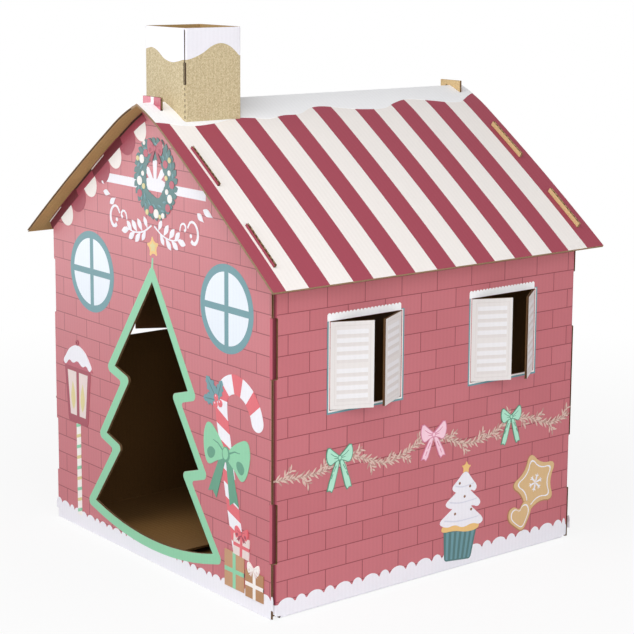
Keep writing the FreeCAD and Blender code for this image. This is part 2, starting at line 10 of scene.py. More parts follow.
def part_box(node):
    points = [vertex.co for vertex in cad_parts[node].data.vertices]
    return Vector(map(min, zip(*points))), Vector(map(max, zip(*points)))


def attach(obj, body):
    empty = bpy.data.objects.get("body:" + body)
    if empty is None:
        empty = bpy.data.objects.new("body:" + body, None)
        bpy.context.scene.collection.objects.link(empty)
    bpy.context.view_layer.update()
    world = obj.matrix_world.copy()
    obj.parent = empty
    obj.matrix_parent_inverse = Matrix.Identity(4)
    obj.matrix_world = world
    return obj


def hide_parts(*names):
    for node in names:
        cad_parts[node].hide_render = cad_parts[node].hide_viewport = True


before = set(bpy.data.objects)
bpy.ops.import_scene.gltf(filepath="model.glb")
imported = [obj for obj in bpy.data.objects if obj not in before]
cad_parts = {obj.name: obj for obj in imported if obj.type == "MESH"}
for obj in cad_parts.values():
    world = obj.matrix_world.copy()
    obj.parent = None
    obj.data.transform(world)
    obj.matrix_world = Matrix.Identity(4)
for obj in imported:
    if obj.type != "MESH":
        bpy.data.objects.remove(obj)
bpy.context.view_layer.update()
SCENE = bpy.context.scene

# ---- measures, in mm

MM = 0.001
BOARD = 3                   # thickness of the board
LINER = 0.4                 # thickness of its outer papers
PAPER = 0.25                # thickness of the fluted paper between them
FLUTE = 6.2                 # pitch of the flutes
HAIR = 0.012                # from one of some marks that may cross to the next
SUNK = 0.1                  # how deep a mark is sunk in the board, and how high a first one is
LAYER = 0.03                # height of one layer of print

FRONT_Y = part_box("front_wall")[0].y / MM
BACK_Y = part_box("back_wall")[1].y / MM
SIDE_X = 250
FOLD = 3.6                  # outside radius of the folds
HINGE = 0.6                 # inside radius of the folds
ROOM = 0.2                  # room between two sheets
FOLD_ROOM = 0.4             # from a fold's end to the hollow part of its panel
ROOF_SKIN = BOARD + ROOM    # from the roof's upper face down to the gables' edges
WALL_PITCH = radians(37.8)  # the roof's slope over the side walls
SIDE_HEIGHT = 423.4
BOW_RADIUS = 3750           # each slope bows outwards,
SHOULDER_RADIUS = 280       # and more so between the ridge
SHOULDER_X = 55             # and this distance from it
ROOF_FRONT_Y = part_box("roof")[0].y / MM
ROOF_BACK_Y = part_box("roof")[1].y / MM
CHIMNEY_LOW, CHIMNEY_HIGH = (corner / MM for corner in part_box("chimney"))

BEYOND = 5                  # how far a panel's block reaches past a free edge, which cuts it off
FLAT = 0.9                  # a face counts as facing an axis from this share on,
LEANING = 0.7               # and as leaning towards it from this one

WINDOW_FRONTS = (FRONT_Y + 85, FRONT_Y + 315)
WINDOW_WIDTH = 112
SILL_Z, HEAD_Z = 243.5, 352.5
LEAF_WIDTH = WINDOW_WIDTH / 2 - 1.5
SHUTTER_ANGLES = ((24, 29), (25, 37))
TAB_ROWS = ((68.6, 142.4), (292.6, 366.4))

CHIMNEY_INSET = FOLD + FOLD_ROOM
CHIMNEY_SLIT = (CHIMNEY_HIGH.z - 69, CHIMNEY_HIGH.z - 42)

DOOR_X = -9.5
DOOR = (
    (137, 49), (69.5, 138), (107, 149.5), (48, 234.5), (84.5, 245),
    (6, 371),
    (-84.5, 245), (-48, 234.5), (-107, 149.5), (-69.5, 138), (-137, 49),
)
SILL_RADIUS = 500
SILL_MIDDLE_Z = 29.86 + SILL_RADIUS


# ---- the roof's bow

BOW = (Vector((SIDE_X, SIDE_HEIGHT))
       - (BOW_RADIUS - ROOF_SKIN) * Vector((sin(WALL_PITCH), cos(WALL_PITCH))))
SHOULDER_PITCH = asin((SHOULDER_X - BOW.x) / BOW_RADIUS)
CROWN = BOW + (BOW_RADIUS - SHOULDER_RADIUS) * Vector((sin(SHOULDER_PITCH), cos(SHOULDER_PITCH)))


def bow_at(x):
    """The centre and radius of the right slope's bow at a level distance from the ridge."""
    return (BOW, BOW_RADIUS) if x > SHOULDER_X else (CROWN, SHOULDER_RADIUS)


def roof_normal(x):
    centre, radius = bow_at(x)
    lean = asin((x - centre.x) / radius)
    return Vector((sin(lean), cos(lean)))


def roof_spot(x, depth):
    """The point (x, z) at a depth under the right slope's upper face, seen from the front."""
    centre, radius = bow_at(x)
    return centre + roof_normal(x) * (radius - depth)


def ridge_height(depth):
    return CROWN.y + sqrt((SHOULDER_RADIUS - depth) ** 2 - CROWN.x ** 2)


def roof_depth(spot):
    """How far a point of the house lies under the roof's upper face."""
    centre, radius = bow_at(abs(spot.x))
    return radius - (Vector((abs(spot.x), spot.z)) - centre).length


# ---- materials

def ink(red, green, blue):
    """A colour given as it looks on the paper, in steps of 255."""
    def linear(step):
        part = step / 255
        return part / 12.92 if part <= 0.04045 else ((part + 0.055) / 1.055) ** 2.4
    return linear(red), linear(green), linear(blue), 1


def make(tree, kind, inputs=None, **settings):
    node = tree.nodes.new("ShaderNode" + kind)
    for name, value in settings.items():
        setattr(node, name, value)
    for key, value in (inputs or {}).items():
        if isinstance(value, bpy.types.NodeSocket):
            tree.links.new(value, node.inputs[key])
        else:
            node.inputs[key].default_value = value
    return node


def maths(tree, operation, first, second=0):
    return make(tree, "Math", {0: first, 1: second}, operation=operation).outputs[0]


def new_material(name):
    material = bpy.data.materials.new(name)
    material.use_nodes = True
    tree = material.node_tree
    tree.nodes.clear()
    return material, tree


def across_the_flutes(tree):
    """Position across the flutes: along X on the gable walls' faces, along Y elsewhere."""
    place = make(tree, "TexCoord")
    where = make(tree, "SeparateXYZ", {0: place.outputs["Object"]})
    facing = make(tree, "SeparateXYZ", {0: place.outputs["Normal"]})
    gable = maths(tree, "GREATER_THAN", maths(tree, "ABSOLUTE", facing.outputs["Y"]), 0.75)
    across = make(tree, "Mix", {0: gable, 2: where.outputs["Y"], 3: where.outputs["X"]})
    return place.outputs["Object"], across.outputs[0], where, gable


def paper_finish(tree, colour, spot, across, mottle, ripple_shade, roughness, dent):
    """Matt paper over flutes: a mottled colour, faint ripples and a little fibre grain; the
    ripples are bumped and also painted into the colour as faint painted shade.
    """
    def spread(noise, amount):
        around_zero = maths(tree, "SUBTRACT", noise.outputs[0], 0.5)
        return maths(tree, "MULTIPLY", around_zero, amount)

    wave = maths(tree, "SINE", maths(tree, "MULTIPLY", across, 2 * pi / (FLUTE * MM)))
    grain = make(tree, "TexNoise", {"Vector": spot, "Scale": 420, "Detail": 5, "Roughness": 0.65})
    cloud = make(tree, "TexNoise", {"Vector": spot, "Scale": 14, "Detail": 3})
    uneven = maths(tree, "ADD", spread(grain, mottle), spread(cloud, mottle * 0.6))
    # the ripples' painted shade, added to the random mottle of the paper's tone
    shade = maths(tree, "ADD", maths(tree, "MULTIPLY", wave, ripple_shade), uneven)
    tone = make(tree, "HueSaturation", {"Value": maths(tree, "ADD", shade, 1), "Color": colour})
    height = maths(tree, "ADD", maths(tree, "MULTIPLY", wave, 0.5),
                   maths(tree, "MULTIPLY", grain.outputs[0], 0.5))
    bump = make(tree, "Bump", {"Strength": 0.6, "Distance": dent, "Height": height})
    shader = make(tree, "BsdfPrincipled",
                  {"Base Color": tone.outputs[0], "Roughness": roughness,
                   "Specular IOR Level": 0.3, "Normal": bump.outputs[0]})
    make(tree, "OutputMaterial", {"Surface": shader.outputs[0]})


def print_ink(name, *steps, roughness=0.62):
    """One flat colour of print on the outer paper."""
    material, tree = new_material(name)
    spot, across = across_the_flutes(tree)[:2]
    paper_finish(tree, ink(*steps), spot, across,
                 mottle=0.07, ripple_shade=0.01, roughness=roughness, dent=0.0001)
    return material


def brick_print():
    """Courses of bricks with thin joints, printed on the walls."""
    material, tree = new_material("brick_print")
    spot, across, where, gable = across_the_flutes(tree)
    start = make(tree, "Mix", {0: gable, 2: (54 + FRONT_Y) * MM, 3: (60 - SIDE_X) * MM})
    along = maths(tree, "SUBTRACT", across, start.outputs[0])
    up = maths(tree, "SUBTRACT", where.outputs["Z"], 21.5 * MM)
    flat = make(tree, "CombineXYZ", {"X": along, "Y": up})
    bricks = make(tree, "TexBrick",
                  {"Vector": flat.outputs[0], "Color1": ink(198, 115, 123),
                   "Color2": ink(193, 109, 117), "Mortar": ink(142, 68, 76), "Scale": 1,
                   "Mortar Size": 0.6 * MM, "Mortar Smooth": 0.2, "Bias": 0,
                   "Brick Width": 58.3 * MM, "Row Height": 24.88 * MM},
                  offset=0.549, offset_frequency=2)
    paper_finish(tree, bricks.outputs["Color"], spot, across,
                 mottle=0.08, ripple_shade=0.014, roughness=0.55, dent=0.00012)
    return material


def kraft_paper(name, dark, light, speckle, ripple_shade=0.02):
    """Bare brown paper with fibres and specks."""
    material, tree = new_material(name)
    spot, across = across_the_flutes(tree)[:2]
    specks = make(tree, "TexNoise", {"Vector": spot, "Scale": 620, "Detail": 6, "Roughness": 0.8})
    spread = make(tree, "MapRange", {0: specks.outputs[0], 1: 0.5 - speckle, 2: 0.5 + speckle})
    colour = make(tree, "Mix", {0: spread.outputs[0], 6: dark, 7: light}, data_type="RGBA")
    paper_finish(tree, colour.outputs[2], spot, across,
                 mottle=0.16, ripple_shade=ripple_shade, roughness=0.85, dent=0.00016)
    return material


BRICKS = brick_print()
KRAFT = kraft_paper("kraft_paper", ink(166, 132, 82), ink(204, 170, 116), 0.25)
# Painted shade: the walls' inner paper, the same kraft as the roof's underside, darkened for the
# shade inside the house.
KRAFT_IN_PAINTED_SHADE = kraft_paper("kraft_in_painted_shade", ink(92, 62, 28), ink(122, 88, 46), 0.25)
# Painted light and shade: the floor flaps' inner paper, darker than the roof's kraft yet lighter
# than the other inner faces, as if lit through the door.
FLOOR_KRAFT_IN_PAINTED_HALF_SHADE = kraft_paper("floor_kraft_in_painted_half_shade", ink(122, 86, 44), ink(156, 116, 66), 0.25)
# Painted light: the inner paper of the tabs that stand above the roof, lighter than the roof's
# kraft, as if lit from outside.
PAINTED_LIT_KRAFT = kraft_paper("painted_lit_kraft", ink(196, 164, 112), ink(236, 206, 156), 0.2)
CUT_EDGE = kraft_paper("cut_edge", ink(104, 78, 54), ink(190, 160, 124), 0.4, ripple_shade=0)
FLUTED = kraft_paper("fluted_paper", ink(92, 64, 42), ink(130, 96, 64), 0.25, ripple_shade=0)
CHIMNEY_KRAFT = kraft_paper("chimney_kraft", ink(176, 156, 116), ink(226, 212, 176), 0.13)
# Painted shade: a dark wine for folds in shade and for the strips at the roof tabs.
WINE_PAINTED_SHADE = print_ink("wine_painted_shade", 112, 42, 54)
BURGUNDY = print_ink("burgundy", 161, 70, 86)
ROSE = print_ink("rose", 186, 92, 108)
CORAL = print_ink("coral", 216, 126, 142)
CREAM = print_ink("cream", 246, 240, 236)
LINEN = print_ink("linen", 228, 224, 222)
SLAT = print_ink("slat", 235, 234, 236)
SLAT_SHADE = print_ink("slat_shade", 222, 217, 215)
SNOW = print_ink("snow", 241, 240, 247)
ICE = print_ink("ice", 252, 252, 254)
SNOW_SHADE = print_ink("snow_shade", 222, 222, 234)
MINT = print_ink("mint", 142, 207, 168)
PALE_MINT = print_ink("pale_mint", 178, 230, 206)
MINT_SHADE = print_ink("mint_shade", 96, 156, 130)
TEAL = print_ink("teal", 108, 152, 160)
FIR = print_ink("fir", 86, 124, 124)
PANE = print_ink("pane", 229, 237, 246, roughness=0.45)
GOLD = print_ink("gold", 238, 196, 128)
STRAW = print_ink("straw", 222, 208, 150)
RED = print_ink("red", 224, 106, 116)
# Painted shade: a near-black brown for gaps, creases and cut edges in shade.
DUSK_PAINTED_SHADE = print_ink("dusk_painted_shade", 58, 42, 32)
PINK = print_ink("pink", 248, 208, 222)
BLOSSOM = print_ink("blossom", 216, 140, 168)
HAZEL = print_ink("hazel", 194, 150, 114)
TWIG = print_ink("twig", 186, 150, 140)
TWIG_LIGHT = print_ink("twig_light", 218, 192, 180)
TAN = print_ink("tan", 218, 184, 136)
BROWN = print_ink("brown", 178, 132, 92)
COCOA = print_ink("cocoa", 140, 98, 72)
BLUSH = print_ink("blush", 232, 214, 210)


# ---- objects

def shown(name, shape, materials):
    """A piece of the house, with its place in its mesh, riding on the one body."""
    piece = held(name, shape)
    for material in materials:
        piece.data.materials.append(material)
    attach(piece, "root")
    return piece


def held(name, shape):
    """An object from a finished bmesh, such as a helper for cutting."""
    mesh = bpy.data.meshes.new(name)
    shape.to_mesh(mesh)
    shape.free()
    piece = bpy.data.objects.new(name, mesh)
    SCENE.collection.objects.link(piece)
    return piece


def combine(target, tool, operation):
    """Cut the target's mesh by the tool's, or keep what they share."""
    modifier = target.modifiers.new("combine", "BOOLEAN")
    modifier.object, modifier.operation, modifier.solver = tool, operation, "EXACT"
    graph = bpy.context.evaluated_depsgraph_get()
    result = bpy.data.meshes.new_from_object(target.evaluated_get(graph))
    target.modifiers.clear()
    old, target.data = target.data, result
    bpy.data.meshes.remove(old)


def discard(tool):
    mesh = tool.data
    bpy.data.objects.remove(tool)
    bpy.data.meshes.remove(mesh)


def fill_loops(shape, loops):
    """Flat faces between outlines given as (u, v) points; later loops are holes."""
    edges = []
    for loop in loops:
        points = [shape.verts.new((u, v, 0)) for u, v in loop]
        edges += [shape.edges.new((point, points[index - 1]))
                  for index, point in enumerate(points)]
    made = bmesh.ops.triangle_fill(shape, use_beauty=True, edges=edges, normal=(0, 0, 1))
    return [item for item in made["geom"] if isinstance(item, bmesh.types.BMFace)]


def thicken(shape, faces, low, high):
    """Turn flat faces into a closed plate between two heights."""
    points = dict.fromkeys(point for face in faces for point in face.verts)
    bmesh.ops.translate(shape, verts=list(points), vec=(0, 0, low))
    made = bmesh.ops.extrude_face_region(shape, geom=faces)["geom"]
    top = [item for item in made if isinstance(item, bmesh.types.BMVert)]
    bmesh.ops.translate(shape, verts=top, vec=(0, 0, high - low))
    plate = list(dict.fromkeys(faces + [face for point in top for face in point.link_faces]))
    bmesh.ops.recalc_face_normals(shape, faces=plate)
    return plate


# ---- sheets of board

UP = Vector((0, 0, 1))


def place_on(origin, across, out=None):
    """From an upright panel's own (across, up, outwards) in mm to the house's metres."""
    across = Vector(across)
    out = across.cross(UP) if out is None else out
    turn = Matrix((across, UP, out)).transposed().to_4x4()
    return Matrix.Scale(MM, 4) @ Matrix.Translation(origin) @ turn


def merged_copy(node):
    shape = bmesh.new()
    shape.from_mesh(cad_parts[node].data)
    bmesh.ops.remove_doubles(shape, verts=shape.verts, dist=1e-6)
    return shape


# Where a bent panel's blocks and flutes have their steps, by distance from the ridge.
BENDS = (14, 24, 34, 44, 55, 95, 135, 175, 215, 255, 300)


def grid(count_u, steps_v, low_u, high_u):
    """A flat grid of faces over a range of u and the given steps of v."""
    shape = bmesh.new()
    rows = [[shape.verts.new((low_u + (high_u - low_u) * step / count_u, v, 0))
             for step in range(count_u + 1)] for v in steps_v]
    for low, high in zip(rows, rows[1:]):
        for step in range(count_u):
            shape.faces.new((low[step], low[step + 1], high[step + 1], high[step]))
    return shape


def settle(shape, place):
    """Put a panel's shape in its place; a function bends it, a matrix only moves it."""
    if callable(place):
        for point in shape.verts:
            point.co = place(point.co) * MM
    else:
        bmesh.ops.transform(shape, matrix=place, verts=shape.verts)
    bmesh.ops.recalc_face_normals(shape, faces=shape.faces)


def core_of(panel):
    """The room between a panel's two papers, as a closed block."""
    place, loops = panel
    if callable(place):
        block = grid(1, BENDS, loops[0][0][0], loops[0][1][0])
        faces = block.faces[:]
    else:
        block = bmesh.new()
        faces = fill_loops(block, loops)
    thicken(block, faces, LINER - BOARD, -LINER)
    settle(block, place)
    return held("core", block)


def flutes_of(panel):
    """The waved paper over the box of a panel's outline, to be cut to the panel's core."""
    place, loops = panel
    low_u, high_u = min(u for u, v in loops[0]), max(u for u, v in loops[0])
    low_v, high_v = min(v for u, v in loops[0]), max(v for u, v in loops[0])
    count = max(1, round((high_u - low_u) / FLUTE * 8))
    wave = grid(count, BENDS if callable(place) else (low_v, high_v), low_u, high_u)
    swing = BOARD / 2 - LINER - PAPER / 2
    for point in wave.verts:
        point.co.z = swing * sin(2 * pi * point.co.x / FLUTE) - BOARD / 2
    wave.normal_update()
    bmesh.ops.solidify(wave, geom=list(wave.faces), thickness=PAPER)
    settle(wave, place)
    return held("wave", wave)


def sheet(node, panels, finish_of, materials, splits=()):
    """A sheet's papers, hollow between them, and its fluted paper; they replace the node."""
    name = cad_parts[node].name
    solid = held(node + "_solid", merged_copy(node))
    papers = held(node + "_papers", merged_copy(node))
    waves = bmesh.new()
    for panel in panels:
        core = core_of(panel)
        combine(papers, core, "DIFFERENCE")
        combine(core, solid, "INTERSECT")
        wave = flutes_of(panel)
        combine(wave, core, "INTERSECT")
        waves.from_mesh(wave.data)
        discard(core)
        discard(wave)
    shape = bmesh.new()
    shape.from_mesh(papers.data)
    discard(papers)
    discard(solid)
    for point, normal in splits:
        bmesh.ops.bisect_plane(shape, geom=shape.verts[:] + shape.edges[:] + shape.faces[:],
                               plane_co=Vector(point) * MM, plane_no=normal)
    for face in shape.faces:
        face.material_index = finish_of(face.calc_center_median() / MM, face.normal)
        face.smooth = node == "roof" and abs(face.normal.z) > LEANING
    for edge in shape.edges:
        edge.smooth = len(edge.link_faces) == 2 and edge.calc_face_angle() < 0.1
    board = shown(name + "_board", shape, materials)
    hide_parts(node)
    shown(name + "_flutes", waves, [FLUTED])


def rectangle(low_u, high_u, low_v, high_v):
    return [(low_u, low_v), (high_u, low_v), (high_u, high_v), (low_u, high_v)]


def gable_outline():
    """A gable wall's hollow part: all of it but the roots of its corner tabs."""
    wide, narrow = SIDE_X + 10, SIDE_X - 12
    right = []
    for low, high in TAB_ROWS:
        right += [(wide, low), (narrow, low), (narrow, high), (wide, high)]
    outline = [(wide, -BEYOND)] + right + [(wide, 620)]
    return outline + [(-u, v) for u, v in reversed(outline)]


# Places in a sheet's row of materials; the roof and the side walls each have one of their own.
PRINTED, INSIDE, EDGE, SNOWY, TRIM, SHADED, LIT_INSIDE, PAINTED_FOLD_SHADE, TAB_EDGE = range(9)
STRIPE, SHUTTER = SNOWY, TRIM
SNOW_LINE = 18  # below this the walls are white
ROOF_TABS = (112.7, 223.7)  # level distances from the ridge to the tabs' middles


def gable_finish(face_y, out):
    def finish(spot, normal):
        on_tab = spot.z > SIDE_HEIGHT - 10 and roof_depth(spot) < ROOF_SKIN - 0.3
        if abs(spot.y - face_y) < 0.1 and normal.y * out > FLAT:
            if on_tab:
                return TRIM
            return SNOWY if spot.z < SNOW_LINE else PRINTED
        leg = abs(spot.x) - SIDE_X + BOARD + FOLD_ROOM
        if abs(normal.z) < 0.5 and -FOLD < leg < 0.05 and normal.x * spot.x > 0:
            if out > 0:
                return PRINTED
            # painted shade: the front corner tabs' bends carry the brick print but are painted
            # darker rose where they face the front and wine where they turn into the side walls'
            # slots
            return PAINTED_FOLD_SHADE if normal.y * out > 0.4 else SHADED
        if abs(normal.y) > FLAT:
            # painted light and shade: inner faces of the tabs above the roof take the pale kraft,
            # the rest the darkened inner kraft
            return LIT_INSIDE if on_tab else INSIDE
        # painted shade: the front tabs' cut edges are dark brown, the back ones keep the pale
        # cut-edge kraft
        return TAB_EDGE if on_tab and out < 0 else EDGE
    return finish


GABLE_SPLITS = [((0, 0, SNOW_LINE), (0, 0, 1))]
for x in ROOF_TABS:
    (edge_x, edge_z), lean = roof_spot(x, ROOF_SKIN - 0.1), roof_normal(x)
    GABLE_SPLITS += [((side * edge_x, 0, edge_z), (side * lean.x, 0, lean.y)) for side in (1, -1)]


def shutter_places(side):
    """Places of a side wall's four shutters: from the hinge outwards, up, and out."""
    places = []
    for front, angles in zip(WINDOW_FRONTS, SHUTTER_ANGLES):
        for hinge_y, swing, angle in ((front, 1, angles[0]),
                                      (front + WINDOW_WIDTH, -1, angles[1])):
            turn = radians(angle)
            out = Vector((side * cos(turn), -swing * sin(turn), 0))
            across = (side * sin(turn), swing * cos(turn), 0)
            centre = Vector((side * (SIDE_X + HINGE), hinge_y, 0))
            places.append(place_on(centre - out * HINGE, across, out))
    return places


def side_finish(side):
    backs = [place.inverted() for place in shutter_places(side)]
    front_fold = Vector((side * (SIDE_X - FOLD), FRONT_Y + BOARD + ROOM + FOLD, 0))
    back_fold = Vector((side * (SIDE_X - FOLD), BACK_Y - BOARD - ROOM - FOLD, 0))
    foot_fold = Vector((side * (SIDE_X - FOLD), 0, FOLD))

    def around(spot, normal, centre, skip):
        arm = spot - centre
        arm[skip] = 0
        return arm.length > BOARD and arm.dot(normal) > 0

    def finish(spot, normal):
        out = normal.x * side
        if out > LEANING and abs(spot.x) > SIDE_X + 0.05:
            for back in backs:
                own = back @ (spot * MM)
                if abs(own.z) < 0.1 and -1 < own.x < LEAF_WIDTH + 1 and own.y > SILL_Z:
                    return SHUTTER
        outside = SNOWY if spot.z < SNOW_LINE else PRINTED
        if out > FLAT and abs(abs(spot.x) - SIDE_X) < 0.05:
            return outside
        if abs(spot.x) > SIDE_X - FOLD and abs(normal.z) < 0.5:
            if (spot.y < front_fold.y and around(spot, normal, front_fold, 2)
                    or spot.y > back_fold.y and around(spot, normal, back_fold, 2)):
                if spot.z < SNOW_LINE or abs(normal.y) < 0.25:
                    return outside
                # painted shade: the folds at the wall's front and back ends carry the brick print
                # but are painted wine where they face along the house and burgundy where they turn
                return SHADED if abs(normal.y) > 0.6 else PAINTED_FOLD_SHADE
        if spot.z < FOLD and out > 0.2 and around(spot, normal, foot_fold, 1):
            return SNOWY
        # painted light: the floor flaps' upper face takes the floor's kraft, lighter than the rest
        # of the inside
        if normal.z > FLAT and spot.z < 12:
            return LIT_INSIDE
        # painted shade: the other inner faces take the darkened inner kraft
        return EDGE if abs(normal.z) > FLAT and spot.z > 20 else INSIDE
    return finish


def side_outline():
    """A side wall's hollow part: all but its folds and the room of its windows."""
    low_y, high_y = FRONT_Y + BOARD + FOLD + FOLD_ROOM, BACK_Y - BOARD - FOLD - FOLD_ROOM
    holes = [rectangle(front - 1, front + WINDOW_WIDTH + 1, SILL_Z + 0.5, HEAD_Z - 0.5)
             for front in WINDOW_FRONTS]
    return [rectangle(low_y, high_y, FOLD + FOLD_ROOM, 430)] + holes


def side_face(side, start):
    """A side wall's outer face, measured along the house from a start."""
    return place_on((side * SIDE_X, start, 0), (0, 1, 0), (side, 0, 0))


def side_panels(side):
    leaf = [rectangle(1, LEAF_WIDTH + 3, SILL_Z, HEAD_Z)]
    return ([(side_face(side, 0), side_outline())]
            + [(place, leaf) for place in shutter_places(side)])


def slope_bend(side):
    """From (along the house, distance from the ridge, out of the slope) to the house."""
    def bend(spot):
        x, z = roof_spot(spot.y, -spot.z)
        return Vector((side * x, spot.x, z))
    return bend


STRIPE_PITCH = 66.1
STRIPE_EDGES = [FRONT_Y - 4]
for number in range(8):
    STRIPE_EDGES += [FRONT_Y + start + STRIPE_PITCH * number for start in (29, 60)]


def roof_finish(spot, normal):
    """Burgundy and cream stripes on top, bare paper below, cut edges around."""
    if normal.z > LEANING and roof_depth(spot) < LINER - 0.1:
        passed = sum(spot.y > edge for edge in STRIPE_EDGES)
        return STRIPE if passed % 2 else PRINTED
    return INSIDE if abs(normal.z) > LEANING else EDGE


# Height of the white's lower edge at the chimney's corners, from the left front one round.
CHIMNEY_WHITE = (662, 652, 655, 659)


def chimney_finish(spot, normal):
    """Kraft outside, with white round the bends at the top; bare paper and edges elsewhere."""
    middle = (CHIMNEY_LOW + CHIMNEY_HIGH) / 2
    half = (CHIMNEY_HIGH - CHIMNEY_LOW) / 2
    away = spot - middle
    if abs(normal.z) > 0.5:
        return EDGE
    past = (abs(away.x) - half.x + FOLD, abs(away.y) - half.y + FOLD)
    if min(past) > 0:
        outside = hypot(*past) > FOLD - 0.3 and away.dot(normal) > 0
        right, rear = away.x > 0, away.y > 0
        corner = (2 if rear else 1) if right else (3 if rear else 0)
        if outside and spot.z > CHIMNEY_WHITE[corner]:
            return SNOWY
    else:
        outside = max(past) > FOLD - 0.3 and away.dot(normal) > 0
    return PRINTED if outside else INSIDE


# Each of the chimney's walls: its name, its place, and where it starts and ends across.
CHIMNEY_WALLS = (
    ("front", place_on((0, CHIMNEY_LOW.y, 0), (1, 0, 0)), CHIMNEY_LOW.x, CHIMNEY_HIGH.x),
    ("right", place_on((CHIMNEY_HIGH.x, 0, 0), (0, 1, 0)), CHIMNEY_LOW.y, CHIMNEY_HIGH.y),
    ("back", place_on((0, CHIMNEY_HIGH.y, 0), (-1, 0, 0)), -CHIMNEY_HIGH.x, -CHIMNEY_LOW.x),
    ("left", place_on((CHIMNEY_LOW.x, 0, 0), (0, -1, 0)), -CHIMNEY_HIGH.y, -CHIMNEY_LOW.y),
)


def chimney_panels():
    low, high = CHIMNEY_LOW.z - BEYOND, CHIMNEY_HIGH.z + BEYOND
    return [(place, [rectangle(start + CHIMNEY_INSET, end - CHIMNEY_INSET, low, high)])
            for name, place, start, end in CHIMNEY_WALLS]


FRONT = place_on((0, FRONT_Y, 0), (1, 0, 0))
BACK = place_on((0, BACK_Y, 0), (1, 0, 0), (0, 1, 0))

for node, place, face_y, out in (("front_wall", FRONT, FRONT_Y, -1),
                                 ("back_wall", BACK, BACK_Y, 1)):
    sheet(node, [(place, [gable_outline()])], gable_finish(face_y, out),
          [BRICKS, KRAFT_IN_PAINTED_SHADE, CUT_EDGE, SNOW, BURGUNDY, WINE_PAINTED_SHADE, PAINTED_LIT_KRAFT, ROSE, DUSK_PAINTED_SHADE],
          GABLE_SPLITS)
for node, side in (("right_side_wall", 1), ("left_side_wall", -1)):
    sheet(node, side_panels(side), side_finish(side),
          [BRICKS, KRAFT_IN_PAINTED_SHADE, CUT_EDGE, SNOW, LINEN, WINE_PAINTED_SHADE, FLOOR_KRAFT_IN_PAINTED_HALF_SHADE, BURGUNDY],
          GABLE_SPLITS[:1])
slope = [rectangle(ROOF_FRONT_Y - BEYOND, ROOF_BACK_Y + BEYOND, BENDS[0], BENDS[-1])]
sheet("roof", [(slope_bend(1), slope), (slope_bend(-1), slope)], roof_finish,
      [BURGUNDY, KRAFT, CUT_EDGE, CREAM], [((0, edge, 0), (0, 1, 0)) for edge in STRIPE_EDGES])
sheet("chimney", chimney_panels(), chimney_finish, [CHIMNEY_KRAFT, KRAFT, CUT_EDGE, SNOW],
      [((0, 0, height), (0, 0, 1)) for height in CHIMNEY_WHITE])


# ---- outlines of the print

def turned(loop, u, v, turn, size=1):
    """The loop scaled, turned by degrees and moved."""
    along = cos(radians(turn)) * size
    across = sin(radians(turn)) * size
    return [(u + along * a - across * b, v + across * a + along * b) for a, b in loop]


def flipped(loop):
    return [(-a, b) for a, b in loop]


def pair_of(loop, *place):
    """The loop and its mirror image, scaled, turned and moved alike."""
    return [turned(loop, *place), turned(flipped(loop), *place)[::-1]]


def oval(u, v, width, height, turn=0, steps=26):
    angles = [2 * pi * step / steps for step in range(steps)]
    loop = [(width / 2 * cos(angle), height / 2 * sin(angle)) for angle in angles]
    return turned(loop, u, v, turn)


def leaf(u, v, length, width, turn, fullness=1, steps=7):
    """A pointed leaf from its stalk outwards; a fullness above 1 makes it a drop."""
    parts = [step / steps for step in range(1, steps)]
    upper = [(length * part, width / 2 * sin(pi * part ** fullness)) for part in parts]
    lower = [(a, -b) for a, b in reversed(upper)]
    return turned([(0, 0)] + upper + [(length, 0)] + lower, u, v, turn)


def star(u, v, outer, inner, points, turn=0):
    corners = []
    for step in range(2 * points):
        angle, reach = pi / 2 + pi * step / points, inner if step % 2 else outer
        corners.append((reach * cos(angle), reach * sin(angle)))
    return turned(corners, u, v, turn)


def softened(loop, rounds=2):
    """The loop with its corners cut off again and again, until it looks round."""
    for _ in range(rounds):
        cut = []
        for (a, b), (c, d) in zip(loop, loop[1:] + loop[:1]):
            cut += [(0.75 * a + 0.25 * c, 0.75 * b + 0.25 * d),
                    (0.25 * a + 0.75 * c, 0.25 * b + 0.75 * d)]
        loop = cut
    return loop


def corners_of(loop):
    """Each corner of a loop, with the unit directions that lead to it and on from it."""
    points = [Vector(corner) for corner in loop]
    for here, before, after in zip(points, points[-1:] + points[:-1], points[1:] + points[:1]):
        yield here, (here - before).normalized(), (after - here).normalized()


def filleted(loop, radii, steps=5):
    """The loop with an arc of its own radius at each corner."""
    result = []
    for (here, before, after), radius in zip(corners_of(loop), radii):
        half = (-before).angle(after) / 2
        if radius <= 0 or half > radians(86):
            result.append(tuple(here))
            continue
        start = here - before * (radius / tan(half))
        end = here + after * (radius / tan(half))
        centre = here + (after - before).normalized() * (radius / sin(half))
        for step in range(steps + 1):
            arm = start.lerp(end, step / steps) - centre
            result.append(tuple(centre + arm.normalized() * radius))
    return result


def widened(loop, distance):
    """The loop moved outwards by a distance, with mitred corners."""
    turns = sum(a * d - b * c for (a, b), (c, d) in zip(loop, loop[1:] + loop[:1]))
    reach = distance if turns < 0 else -distance
    result = []
    for here, before, after in corners_of(loop):
        first, second = Vector((-before.y, before.x)), Vector((-after.y, after.x))
        mitre = (first + second).normalized()
        result.append(tuple(here + mitre * (reach / max(mitre.dot(first), 0.3))))
    return result


def flow(points, steps=6):
    """A smooth line through the points."""
    ends = [points[0]] + list(points) + [points[-1]]
    line = []
    for index in range(1, len(ends) - 2):
        p0, p1, p2, p3 = (Vector(ends[index + shift]) for shift in (-1, 0, 1, 2))
        for step in range(steps):
            t = step / steps
            line.append(0.5 * ((2 * p1) + (p2 - p0) * t + (2 * p0 - 5 * p1 + 4 * p2 - p3) * t ** 2
                               + (3 * p1 - p0 - 3 * p2 + p3) * t ** 3))
    line.append(Vector(points[-1]))
    return line


